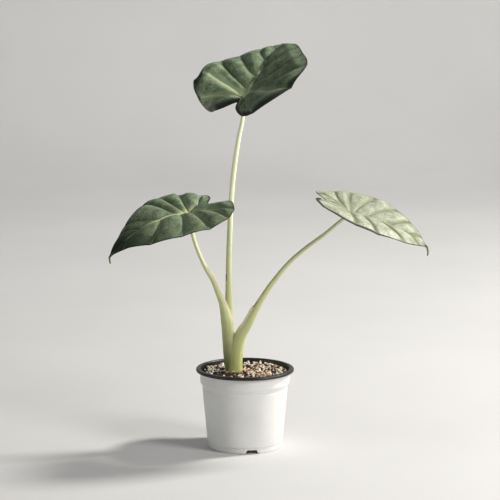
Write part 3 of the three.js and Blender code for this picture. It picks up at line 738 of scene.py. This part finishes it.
# Heights, and the radius of the middle of the wall at each.
WALL_MIDDLE = ([0, 8, 75, 81, 98], [43.2, 45.2, 51.4, 54.1, 54.5])


def outline_on(bm, outline, turn=0.0):
    """Vertices at radii and heights in mm, turned round the axis by an angle, and their edges."""
    ring = [bm.verts.new((r * math.cos(turn) * MM, r * math.sin(turn) * MM, z * MM)) for r, z in outline]
    return ring, [bm.edges.new(pair) for pair in zip(ring, ring[1:])]


def spin_round(bm, steps):
    """Spins an outline once round the axis into a closed body."""
    bmesh.ops.spin(
        bm, geom=bm.verts[:] + bm.edges[:], cent=(0, 0, 0), axis=(0, 0, 1), dvec=(0, 0, 0),
        angle=2 * math.pi, steps=steps, use_merge=True, use_duplicate=False,
    )
    close_up(bm, 0.002)


def build_pot(materials):
    """The wall's outline spun round, with notches lifted into the foot and holes cut in its channel."""
    bm = bmesh.new()
    outline = [*POT_OUTSIDE, *POT_RIM, *POT_INSIDE]
    ring, edges = outline_on(bm, outline, math.radians(NOTCH_FIRST))
    sharp = [vert for vert, (r, z) in zip(ring, outline) if r > 30 and (z > 7.3 or r > 44)]
    bmesh.ops.bevel(
        bm, geom=sharp + edges, affect="VERTICES", offset=EDGE_ROUNDING * MM, segments=3, profile=0.5,
        material=-1,
    )
    spin_round(bm, POT_STEPS)
    half_turn = 180 / NOTCHES
    for vert in bm.verts:
        radius = math.hypot(vert.co.x, vert.co.y) / MM
        if vert.co.z < 5 * MM and radius > 40:
            turned = math.degrees(math.atan2(vert.co.y, vert.co.x)) - NOTCH_FIRST
            off = abs((turned + half_turn) % (2 * half_turn) - half_turn)
            lifted = NOTCH_HEIGHT * min(1, max(0, (NOTCH_HALF - off) / NOTCH_SLOPE))
            vert.co.z = max(vert.co.z, lifted * MM)
    cut_drains(bm)
    bmesh.ops.recalc_face_normals(bm, faces=bm.faces)
    for face in bm.faces:
        centre = face.calc_center_median() / MM
        radius = math.hypot(centre.x, centre.y)
        inside = centre.z > 1.4 and radius < np.interp(centre.z, *WALL_MIDDLE) - 0.25
        in_foot = centre.z < 5.6 and radius > 28
        black = (radius > 55.3 or centre.z > 95.9 or inside) and not in_foot
        face.material_index = int(black)
    return finished(bm, "pot_shell", materials, ["pot"])


def cut_drains(bm):
    """Opens a round hole through the channel's roof behind each notch."""
    for index in range(NOTCHES):
        turn = math.radians(NOTCH_FIRST + 360 / NOTCHES * index)
        middle = Vector((math.cos(turn), math.sin(turn), 0)) * DRAIN_AT * MM
        hole = []
        for face in bm.faces:
            centre = face.calc_center_median()
            flat = Vector((centre.x, centre.y, 0))
            if (flat - middle).length < 3.4 * MM and 4 * MM < centre.z < 7 * MM:
                hole.append(face)
        bmesh.ops.delete(bm, geom=hole, context="FACES")
        rims = [
            edge for edge in bm.edges
            if edge.is_boundary and (Vector((*edge.verts[0].co.xy, 0)) - middle).length < 7 * MM
        ]
        for vert in {vert for edge in rims for vert in edge.verts}:
            flat = Vector((*vert.co.xy, 0)) - middle
            vert.co.xy = (middle + flat.normalized() * DRAIN_RADIUS * MM).xy
        bmesh.ops.bridge_loops(bm, edges=rims)


# Potting mix and its grains.

STEM = (-14.5, 6.5)
# Radii in mm: none of a grain is past the first, and no grain's middle is past the second.
GRAIN_LIMIT, GRAIN_REACH = 54, 52.3
# Distances from the stem in mm: no grain is nearer than the first, and its region ends at the second.
STEM_BARE, STEM_REGION = 9.5, 14
# Heights in mm: the outline's level top, the finished surface, and what the grains stay under.
MIX_LEVEL, MIX_SURFACE, GRAIN_TOP = 90, 91.5, 95.6
GRAIN_SEED = 11
# Radius and height in mm down the middle of the mix, out along the pot's inside and back over its top.
MIX_OUTLINE = [
    (0, 1.6), (26.8, 1.6), (31.8, 6.6), (43, 6.6), (44, 8), (49.3, 56), (50.4, 75), (52.2, 79.6),
    (52.9, 82), (53.1, 89.2), *((52.6 - 0.9 * i, MIX_LEVEL) for i in range(58)), (0, MIX_LEVEL),
]


def mix_height(x, y):
    """Height of the mix in mm at a place in mm: a slightly uneven, crumbly surface."""
    spot = Vector((x, y, 0))
    swell = noise.noise(spot / 22 + Vector((3, 1, 0))) * 0.8
    crumbs = noise.noise(spot / 3.1) * 0.55 + noise.noise(spot / 1.3) * 0.25
    heap = 0.8 * math.exp(-((math.hypot(x - STEM[0], y - STEM[1]) / 16) ** 2))
    return MIX_SURFACE + 0.02 * y + swell + crumbs + heap


def build_mix(material):
    """The mix as one body, with its level top lifted to the uneven surface."""
    bm = bmesh.new()
    outline_on(bm, MIX_OUTLINE)
    spin_round(bm, MIX_STEPS)
    for vert in bm.verts:
        if vert.co.z > (MIX_LEVEL - 0.1) * MM:
            vert.co.z = mix_height(vert.co.x / MM, vert.co.y / MM) * MM
    return finished(bm, "mix_bed", [material], ["potting_mix"])


# Each kind: its share of the scatter at left back, left front, right and round the stem, its size
# in mm, how flat it is and how finely its ball is divided.
GRAINS = {
    "perlite_grains": ((0.5, 0.06, 0.24, 0.3), (1.3, 2.2), 0.82, 2),
    "pumice_grains": ((0.2, 0.04, 0.56, 0.2), (1.2, 2.1), 0.8, 2),
    "bark_chips": ((0.3, 0.9, 0.2, 0.5), (1.2, 2.4), 0.42, 1),
}


def grain_spots(count, generator):
    """Seeded places for all grains, each with its region: 0 left back, 1 left front, 2 right, 3 stem."""
    spots = []
    while len(spots) < count:
        radius = GRAIN_REACH * math.sqrt(generator.random())
        turn = 2 * math.pi * generator.random()
        x, y = radius * math.cos(turn), radius * math.sin(turn)
        from_stem = math.hypot(x - STEM[0], y - STEM[1])
        if from_stem < STEM_BARE:
            continue
        region = 0 if y > 2 or x < -40 else 1
        if x > -6 + 0.3 * y and (y > -22 or x > 18):
            region = 2
        if from_stem < STEM_REGION:
            region = 3
        spots.append((x, y, radius, region))
    return spots


def build_grains(materials, looks):
    """Strews the loose grains, the later ones on top of the earlier ones, as one piece for each kind."""
    generator = np.random.default_rng(GRAIN_SEED)
    meshes = {kind: bmesh.new() for kind in GRAINS}
    for bm in meshes.values():
        bm.verts.layers.float.new("tint")
    spots = grain_spots(looks.grain_count, generator)
    longest = 1.15
    for order, (x, y, radius, region) in enumerate(spots):
        pick = generator.random() * sum(GRAINS[kind][0][region] for kind in GRAINS)
        for kind, (shares, sizes, flatness, rounds) in GRAINS.items():
            pick -= shares[region]
            if pick <= 0:
                break
        low, high = sizes
        size = low + (high - low) * generator.random() ** 1.8
        size = min(size, (GRAIN_LIMIT - radius) / longest)
        shape = Vector(generator.uniform(0.75, longest, 3))
        shape.z *= flatness
        spin = Euler(generator.uniform(-0.5, 0.5, 3), "XYZ")
        spin.z = generator.uniform(0, 2 * math.pi)
        layer = 0.55 if order < looks.grain_count * 0.55 else 1.35
        height = mix_height(x, y) + size * shape.z * layer - 0.35
        middle = Vector((x, y, min(height, GRAIN_TOP - size * 0.5))) * MM
        stretch = Matrix.Diagonal((*(shape * size * MM), 1))
        place = Matrix.Translation(middle) @ spin.to_matrix().to_4x4() @ stretch
        bm = meshes[kind]
        tint = generator.random()
        made = bmesh.ops.create_icosphere(bm, subdivisions=rounds, radius=1, matrix=place)["verts"]
        key = bm.verts.layers.float["tint"]
        for vert in made:
            vert.co = middle + (vert.co - middle) * generator.uniform(0.82, 1.14)
            vert[key] = tint
    for kind, bm in meshes.items():
        matter = kind.split("_")[0]
        nodes = sorted(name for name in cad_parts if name.startswith(matter + "_grain"))
        bmesh.ops.recalc_face_normals(bm, faces=bm.faces)
        finished(bm, kind, [materials[kind]], nodes, flat_shaded=True)


# Materials. A blade's maps and the length along a stalk are in tenths of a metre, places in metres.

def leaf_skin_group():
    """Colour, roughness and height of a blade: mottled panels, pale veins, a dark rim, side veins, and
    painted shade beside the veins, on one half and in a band along the margin.
    """
    inputs = {
        "Vector": ("Flat", "Vein", "Edge", "Size"),
        "Color": ("Deep", "Light", "Vein colour", "Rim"),
        "Float": (
            "Vein strength", "Base glow", "Shade", "Dark edge", "Edge side", "Edge reach", "Tip shade",
            "Side shade",
        ),
    }
    outputs = {"Color": ("Colour",), "Float": ("Roughness", "Height")}
    tree, given, result = new_group("leaf skin", inputs, outputs)
    run, gap, _ = parts(given("Vein"))
    midrib, rim, _ = parts(given("Edge"))
    pale = parts(given("Size"))[0]
    u, v, _ = parts(given("Flat"))
    deep, light, vein_colour = given("Deep"), given("Light"), given("Vein colour")

    # Mottled panels with pale flecks, and painted shade beside the veins, where the quilted panels dip into
    # the vein valleys.
    mottle = grain(given("Flat"), 9, 4, 0.6)
    cells = grain(given("Flat"), 70, 4, 0.65)
    speck = grain(given("Flat"), 230, 2, 0.6)
    colour = blend(between(mottle * 0.4 + cells * 0.6, 0.3, 0.76), deep, light)
    colour = blend(between(gap, 0, 0.06, 1, 0) * given("Shade"), colour, deep)
    colour = blend(between(speck, 0.56, 0.7) * 0.22, colour, light)

    # Side veins: fine slanted lines between the veins.
    phase = (run - gap * 0.75 + mottle * 0.05) * 118
    thread = abs(calc("SINE", phase)) ** 7 * between(gap, 0.004, 0.03)
    colour = blend(thread * 0.08, colour, vein_colour)

    # Darker towards the tip, and painted shade on one half of the blade, the half that is turned away from
    # the light.
    colour = blend(between(u, 0.35, 1.05) * given("Tip shade"), colour, deep)
    side = given("Side shade")
    colour = blend(between(v * calc("SIGN", side), 0, 0.05) * abs(side), colour, deep)

    # Veins and midrib: a soft halo, a pale core, and a glow round the place where the stalk joins.
    ragged = (cells - 0.5) * 0.006
    line = (gap + ragged) / (pale + 0.0015)
    halo = between(line, 0.5, 5.5, 0.6, 0) * between(pale, 0.002, 0.014)
    colour = blend(halo, colour, blend(0.35, light, vein_colour))
    core = between(line, 0.25, 1.25, 1, 0) * between(pale, 0, 0.016, 0.35, 1)
    main_width = between(u, 0, 1.1, 0.021, 0.006)
    main = between((abs(midrib) + ragged) / main_width, 0.3, 1.2, 1, 0)
    heart = between(run, 0.02, 0.16, 1, 0) * given("Base glow") * between(abs(u), 0.03, 0.16, 1, 0)
    mask = calc("MAXIMUM", calc("MAXIMUM", core, main) * given("Vein strength"), heart)
    colour = blend(mask, colour, vein_colour)

    # The thin dark rim of the margin, widened where the blade asks for it into a band of painted shade
    # along the rolled margin.
    edge_side = given("Edge side")
    lean = v * edge_side + (1 - abs(edge_side))
    front = between(lean, 0.02, 0.12) * between(u - given("Edge reach"), 0, 0.4, 1, 0)
    edge = between(rim / (front * given("Dark edge") + 0.016), 0.4, 1, 0.97, 0)
    give(result["Colour"], blend(edge, colour, given("Rim")))
    give(result["Roughness"], cells * 0.16 + mask * 0.06 + 0.38)
    give(result["Height"], cells * 0.35 + speck * 0.18 - thread * 0.2 - core * 0.25)
    return tree


def leaf_material(name, looks, skin):
    """The upper side of a blade, from the shared leaf skin group."""
    material, tree, shader = new_material(name, Specular_IOR_Level=0.2)
    values = {key.capitalize(): own_map(tree, key) for key in BLADE_MAPS}
    values.update({"Deep": looks.deep, "Light": looks.light, "Vein colour": looks.vein, "Rim": looks.rim})
    values.update(skin)
    group = bpy.data.node_groups.get("leaf skin") or leaf_skin_group()
    out = node(tree, "Group", values, ("Colour", "Roughness", "Height"), node_tree=group)
    dress(shader, *out, 0.5, 0.7)
    return material


def under_material(name, deep, light, rib):
    """The blade's underside: duller, purplish green, with paler raised ribs."""
    material, tree, shader = new_material(name)
    flat, vein, edge = (own_map(tree, key) for key in ("flat", "vein", "edge"))
    gap = parts(vein)[1]
    midrib, rim, _ = parts(edge)
    mottle = grain(flat, 14, 5, 0.6)
    cells = grain(flat, 120, 3, 0.6)
    colour = blend(between(mottle, 0.35, 0.68), deep, light)
    main_rib = between(abs(midrib), 0.008, 0.024, 0.9, 0)
    colour = blend(calc("MAXIMUM", between(gap, 0.004, 0.014, 0.75, 0), main_rib), colour, rib)
    colour = blend(between(rim, 0.004, 0.02, 0.8, 0), colour, deep)
    dress(shader, colour, cells * 0.2 + 0.45, mottle + cells, 0.3, 0.6)
    return material


def striped(colour, skin, paint, place, fade_in, fade_out, blur):
    """Paints a stripe up a stalk. place: its turn in degrees, where it starts and stops, its strength."""
    around, along, _ = parts(skin)
    turn, start, stop, strength = place
    inside = between(along, start, start + fade_in) * between(along, stop, stop + fade_out, 1, 0)
    line = between(abs(around - turn / 360), 0.03, blur, strength, 0)
    return blend(line * inside, colour, paint)


def stalk_material(name, looks, base):
    """Fleshy stalk: olive at the foot, paler upwards, with fine fibres and a pinkish sheath edge."""
    material, tree, shader = new_material(
        "stalk_flesh_" + name, Subsurface_Weight=0.12, Subsurface_Scale=0.003,
        Subsurface_Radius=(0.6, 1, 0.3),
    )
    skin, place = own_map(tree, "skin"), object_place(tree)
    fibres = grain(scaled(skin, (60, 3, 1)), 1, 4, 0.6)
    height = parts(place)[2] + grain(place, 45, 3, 0.55) * 0.03
    colour = blend(between(height, 0.1, 0.19), base, looks.middle)
    colour = blend(between(height, 0.19, 0.36), colour, looks.top)
    tint = blend(between(fibres, 0.3, 0.7), linear(206, 210, 166), linear(255, 255, 250))
    colour = blend(0.35, colour, tint, "MULTIPLY")
    colour = striped(colour, skin, looks.edge, PINK_EDGES[name], 0.2, 0.5, 0.11)
    colour = striped(colour, skin, linear(60, 48, 30), DARK_STREAKS[name], 0.03, 0.03, 0.06)
    dress(shader, colour, between(fibres, 0.2, 0.8, 0.36, 0.5), fibres, 0.25, 0.5)
    return material


def plastic_materials(looks):
    """White satin plastic outside, scuffed near the foot, and black plastic inside and on the rim."""
    white, tree, shader = new_material("white_plastic", Coat_Roughness=0.25)
    place = object_place(tree)
    cloud = grain(place, 35, 4, 0.6)
    flow = grain(scaled(place, (1, 1, 0.12)), 260, 3, 0.6)
    dust = grain(place, 420, 3, 0.7)
    marks = between(parts(place)[2] + cloud * 0.02, 0.01, 0.026, 0.2, 0) * between(dust, 0.5, 0.72)
    colour = blend(between(cloud, 0.3, 0.75), looks.white, linear(222, 221, 217))
    colour = blend(marks, colour, linear(150, 140, 122))
    dress(shader, colour, flow * 0.14 + marks * 0.3 + 0.34, flow + dust * 0.4, 0.06, 0.5)

    black, tree, shader = new_material("black_plastic")
    place = object_place(tree)
    cloud = grain(place, 60, 4, 0.6)
    dust = grain(place, 520, 3, 0.72)
    powder = between(cloud, 0.4, 0.7) * between(dust, 0.46, 0.7, 0, 0.5)
    colour = blend(powder, looks.black, linear(112, 96, 78))
    dress(shader, colour, powder * 0.4 + 0.38, cloud + dust, 0.05, 0.5)
    return [white, black]


def crumb_material(name, dark, light, scale, height, pit=None):
    """Crumbly matter; a piece with a tint layer varies it from grain to grain."""
    material, tree, shader = new_material(name)
    place = object_place(tree)
    coarse = grain(place, scale, 5, 0.7)
    fine = grain(place, scale * 4, 3, 0.6)
    tint = node(tree, "Attribute", {}, "Fac", attribute_name="tint")
    colour = blend(between(coarse * 0.55 + tint * 0.5, 0.2, 0.85), dark, light)
    if pit:
        colour = blend(between(fine, 0.56, 0.72, 0, 0.7), colour, pit)
    dress(shader, colour, 0.9, coarse + fine, height, 0.9)
    return material


def stage_material(name, colour, other):
    material, tree, shader = new_material(name)
    place = object_place(tree)
    cloud = grain(place, 2.2, 5, 0.55)
    paint = blend(between(cloud, 0.3, 0.7), colour, other)
    dress(shader, paint, between(cloud, 0.2, 0.8, 0.7, 0.8), grain(place, 60, 4, 0.6), 0.2, 0.2)
    return material


# Settings that a user would change.

def colour_setting(name, description, default):
    return FloatVectorProperty(
        name=name, description=description, default=default, size=3, min=0, max=1, subtype="COLOR",
    )


def size_setting(name, description, default):
    return FloatProperty(
        name=name, description=description, default=default, min=0, unit="LENGTH", subtype="DISTANCE",
    )


def power_setting(name, description, default):
    return FloatProperty(name=name, description=description, default=default, min=0)


class AlocasiaPotLooks(bpy.types.PropertyGroup):
    white: colour_setting("Outside", "Colour of the pot's outside", linear(228, 228, 225))
    black: colour_setting("Inside", "Colour of the pot's inside and rim", linear(24, 21, 18))


class AlocasiaMixLooks(bpy.types.PropertyGroup):
    grain_count: IntProperty(
        name="Grains", description="How many loose grains lie on the mix", default=780, min=0,
    )
    soil: colour_setting("Mix", "Colour of the dark mix between the grains", linear(58, 42, 27))
    perlite: colour_setting("Perlite", "Colour of the white grains", linear(255, 251, 238))
    pumice: colour_setting("Pumice", "Colour of the tan grains", linear(240, 216, 186))
    bark: colour_setting("Bark", "Colour of the bark chips", linear(74, 52, 34))


class AlocasiaBladeLooks(bpy.types.PropertyGroup):
    quilt_height: size_setting("Quilting", "Height of the bulges between the veins", 0.0085)
    thickness: size_setting("Thickness", "Thickness of the blade", 0.0009)
    deep: colour_setting("Deep green", "Darker colour of the panels", linear(26, 42, 18))
    light: colour_setting("Light green", "Lighter colour of the panels", linear(164, 186, 148))
    vein: colour_setting("Veins", "Colour of the midrib and the veins", linear(208, 216, 170))
    rim: colour_setting("Rim", "Colour of the thin rim", linear(30, 36, 26))


# The right blade's colours are partly its own paler green and partly painted light: its near-white panels
# stand in for the strong light that falls on it.
class AlocasiaPaleBladeLooks(bpy.types.PropertyGroup):
    quilt_height: size_setting("Quilting", "Height of the bulges between the veins", 0.0048)
    thickness: size_setting("Thickness", "Thickness of the blade", 0.0009)
    deep: colour_setting("Deep green", "Darker colour of the panels", linear(92, 104, 62))
    light: colour_setting("Light green", "Lighter colour of the panels", linear(228, 229, 212))
    vein: colour_setting("Veins", "Colour of the midrib and the veins", linear(162, 170, 132))
    rim: colour_setting("Rim", "Colour of the thin rim", linear(22, 22, 16))


class AlocasiaStalkLooks(bpy.types.PropertyGroup):
    # The foot colours are partly the stalks' own olive and partly painted light and shade: the foot of the
    # top and left stalks is darker as painted shade, and the right stalk's foot is lighter as painted
    # light.
    base: colour_setting("Foot", "Colour where the stalks leave the mix", linear(128, 130, 76))
    lit_right_base: colour_setting("Right foot", "Colour of the foot of the right stalk", linear(192, 196, 124))
    middle: colour_setting("Sheath", "Colour of the thick lower stalk", linear(208, 212, 158))
    top: colour_setting("Upper stalk", "Colour of the slender upper stalk", linear(250, 253, 218))
    edge: colour_setting("Sheath edge", "Colour of the thin edge of a sheath", linear(240, 222, 196))


class AlocasiaStageLooks(bpy.types.PropertyGroup):
    floor: colour_setting("Floor", "Colour of the floor and wall", linear(208, 207, 205))
    key_power: power_setting("Key light", "Power in W of the light by the window", 74)
    window_power: power_setting("Window light", "Power in W of the broad light from the right", 34)
    fill_power: power_setting("Fill light", "Power in W of the soft light from the left", 11)
    backdrop_power: power_setting("Backdrop light", "Power in W of the light on the wall", 15)
    sky: power_setting("Surround", "Strength of the even surround", 0.2)


# Operators.

class BuildPot(bpy.types.Operator):
    """Builds the white pot with its black rim and inside"""
    bl_idname = "alocasia.pot"
    bl_label = "Pot"

    def execute(self, context):
        build_pot(plastic_materials(context.scene.alocasia_pot))
        return {"FINISHED"}


class BuildMix(bpy.types.Operator):
    """Builds the potting mix, its loose grains, and finishes the rootstock inside it"""
    bl_idname = "alocasia.mix"
    bl_label = "Potting mix"

    def execute(self, context):
        looks = context.scene.alocasia_mix
        build_mix(crumb_material("dark_mix", linear(22, 17, 13), looks.soil, 260, 1.2))
        materials = {
            "perlite_grains": crumb_material(
                "perlite", linear(226, 214, 190), looks.perlite, 500, 0.4, pit=linear(170, 160, 140),
            ),
            "pumice_grains": crumb_material(
                "pumice", linear(150, 118, 92), looks.pumice, 420, 0.5, pit=linear(120, 88, 66),
            ),
            "bark_chips": crumb_material("bark", linear(30, 22, 16), looks.bark, 380, 0.6),
        }
        build_grains(materials, looks)
        root = crumb_material("corky_root", linear(70, 50, 34), linear(150, 122, 88), 300, 0.6)
        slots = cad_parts["rootstock"].material_slots
        if not slots:
            raise RuntimeError("the rootstock has no material slot")
        for slot in slots:
            slot.material = root
        return {"FINISHED"}


class BuildStalks(bpy.types.Operator):
    """Builds the three leaf stalks with their sheaths"""
    bl_idname = "alocasia.stalks"
    bl_label = "Leaf stalks"

    def execute(self, context):
        looks = context.scene.alocasia_stalks
        for name in STALKS:
            # The right stalk's lighter foot is painted light, and the others' darker foot is partly painted
            # shade.
            foot = looks.lit_right_base if name == "right" else looks.base
            build_stalk(name, stalk_material(name, looks, foot))
        return {"FINISHED"}


class BuildBlades(bpy.types.Operator):
    """Builds the three quilted leaf blades"""
    bl_idname = "alocasia.blades"
    bl_label = "Leaf blades"

    def execute(self, context):
        dark, pale = context.scene.alocasia_blades, context.scene.alocasia_pale_blade
        under = under_material("leaf_under", linear(46, 40, 36), linear(74, 66, 54), linear(120, 120, 80))
        # The right blade takes the pale looks, which are partly painted light.
        for name, looks, tone in (("top", dark, "dark"), ("left", dark, "dark"), ("right", pale, "pale")):
            upper = leaf_material("leaf_upper_" + name, looks, BLADE_SKINS[name])
            build_blade(name, looks, [upper, under])
        return {"FINISHED"}


# The floor in metres: half its size, how much wider and how much deeper towards the viewer it is
# stretched, where it starts to bend up, how much of the grid's depth the bend takes, and its radius.
FLOOR_SIZE, FLOOR_WIDER, FLOOR_DEEPER = 5, 2.4, 1.4
BEND_START, BEND_DEPTH, BEND_RADIUS = 2.5, 1.2, 0.75
# Each light: its direction from what it shines on, how far off it is, its size, its colour and the spot.
PLANT_SPOT, WALL_SPOT = (0.02, 0, 0.22), (0, 3.2, 0.5)
LIGHTS = {
    "key": ((0.72, 0.2, 0.66), 2.6, 0.42, (1, 0.975, 0.93), PLANT_SPOT),
    "window": ((0.8, -0.54, 0.46), 2.4, 0.9, (1, 0.99, 0.97), PLANT_SPOT),
    "fill": ((-0.92, -0.36, 0.2), 3.4, 1.6, (0.94, 0.97, 1), PLANT_SPOT),
    "backdrop": ((0, -0.6, 0.8), 2.2, 1.8, (1, 1, 1), WALL_SPOT),
}
SKY_COLOUR = (0.96, 0.98, 1, 1)
LENS = 152.74
# The camera in mm, and how many degrees it looks down.
CAMERA_PLACE = (6.12, -2544, 653.5)
CAMERA_TILT = 9.15


class BuildStage(bpy.types.Operator):
    """Builds the floor, the lights and the camera"""
    bl_idname = "alocasia.stage"
    bl_label = "Stage"

    def execute(self, context):
        looks = context.scene.alocasia_stage
        bm = bmesh.new()
        bmesh.ops.create_grid(bm, x_segments=8, y_segments=60, size=FLOOR_SIZE)
        for vert in bm.verts:
            depth = vert.co.y
            bend = min(max(depth - BEND_START, 0), BEND_DEPTH) / BEND_DEPTH * math.pi / 2
            nearer = FLOOR_DEEPER * min(depth, 0)
            vert.co.x *= FLOOR_WIDER
            vert.co.y = min(depth, BEND_START) + BEND_RADIUS * math.sin(bend) + nearer
            rise = max(depth - BEND_START - BEND_DEPTH, 0)
            vert.co.z = BEND_RADIUS * (1 - math.cos(bend)) + rise
        bmesh.ops.recalc_face_normals(bm, faces=bm.faces)
        mesh = bpy.data.meshes.new("floor")
        for face in bm.faces:
            face.smooth = True
        bm.to_mesh(mesh)
        bm.free()
        floor = bpy.data.objects.new("floor", mesh)
        context.scene.collection.objects.link(floor)
        lighter = tuple(min(1, value * 1.05) for value in looks.floor)
        mesh.materials.append(stage_material("pale_floor", looks.floor, lighter))

        for name in LIGHTS:
            self.area_light(name, getattr(looks, name + "_power"))
        world = bpy.data.worlds.new("surround")
        world.use_nodes = True
        background = world.node_tree.nodes["Background"]
        background.inputs[0].default_value = SKY_COLOUR
        background.inputs[1].default_value = looks.sky
        context.scene.world = world

        lens = bpy.data.cameras.new("camera")
        lens.sensor_width = 36
        lens.lens = LENS
        lens.clip_end = 50
        camera = bpy.data.objects.new("camera", lens)
        camera.location = Vector(CAMERA_PLACE) * MM
        camera.rotation_euler = (math.radians(90 - CAMERA_TILT), 0, 0)
        context.scene.collection.objects.link(camera)
        context.scene.camera = camera
        context.scene.view_settings.view_transform = "Standard"
        return {"FINISHED"}

    @staticmethod
    def area_light(name, power):
        """A round light from the table, turned to its spot."""
        direction, distance, size, colour, spot = LIGHTS[name]
        direction = Vector(direction)
        light = bpy.data.lights.new(name, "AREA")
        light.shape = "DISK"
        light.size = size
        light.energy = power
        light.color = colour
        lamp = bpy.data.objects.new(name, light)
        lamp.location = Vector(spot) + direction.normalized() * distance
        lamp.rotation_euler = direction.to_track_quat("Z", "Y").to_euler()
        bpy.context.scene.collection.objects.link(lamp)


class AlocasiaPanel(bpy.types.Panel):
    """Sizes, colours and the steps that build the plant"""
    bl_idname = "VIEW3D_PT_alocasia"
    bl_label = "Potted alocasia"
    bl_space_type = "VIEW_3D"
    bl_region_type = "UI"
    bl_category = "Alocasia"

    def draw(self, context):
        for operator, groups in STEPS:
            box = self.layout.box()
            for group in groups:
                settings = getattr(context.scene, group)
                for key in settings.__annotations__:
                    box.prop(settings, key)
            box.operator(operator)


STEPS = (
    ("alocasia.stage", ("alocasia_stage",)),
    ("alocasia.pot", ("alocasia_pot",)),
    ("alocasia.mix", ("alocasia_mix",)),
    ("alocasia.stalks", ("alocasia_stalks",)),
    ("alocasia.blades", ("alocasia_blades", "alocasia_pale_blade")),
)
SETTINGS = {
    "alocasia_stage": AlocasiaStageLooks,
    "alocasia_pot": AlocasiaPotLooks,
    "alocasia_mix": AlocasiaMixLooks,
    "alocasia_stalks": AlocasiaStalkLooks,
    "alocasia_blades": AlocasiaBladeLooks,
    "alocasia_pale_blade": AlocasiaPaleBladeLooks,
}
CLASSES = (*SETTINGS.values(), BuildPot, BuildMix, BuildStalks, BuildBlades, BuildStage, AlocasiaPanel)


def register():
    for made in CLASSES:
        bpy.utils.register_class(made)
    for name, group in SETTINGS.items():
        setattr(bpy.types.Scene, name, PointerProperty(type=group))


def unregister():
    for name in SETTINGS:
        delattr(bpy.types.Scene, name)
    for made in reversed(CLASSES):
        bpy.utils.unregister_class(made)


def main():
    register()
    for operator, _ in STEPS:
        family, step = operator.split(".")
        getattr(getattr(bpy.ops, family), step)()
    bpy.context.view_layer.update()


if __name__ == "__main__":
    main()
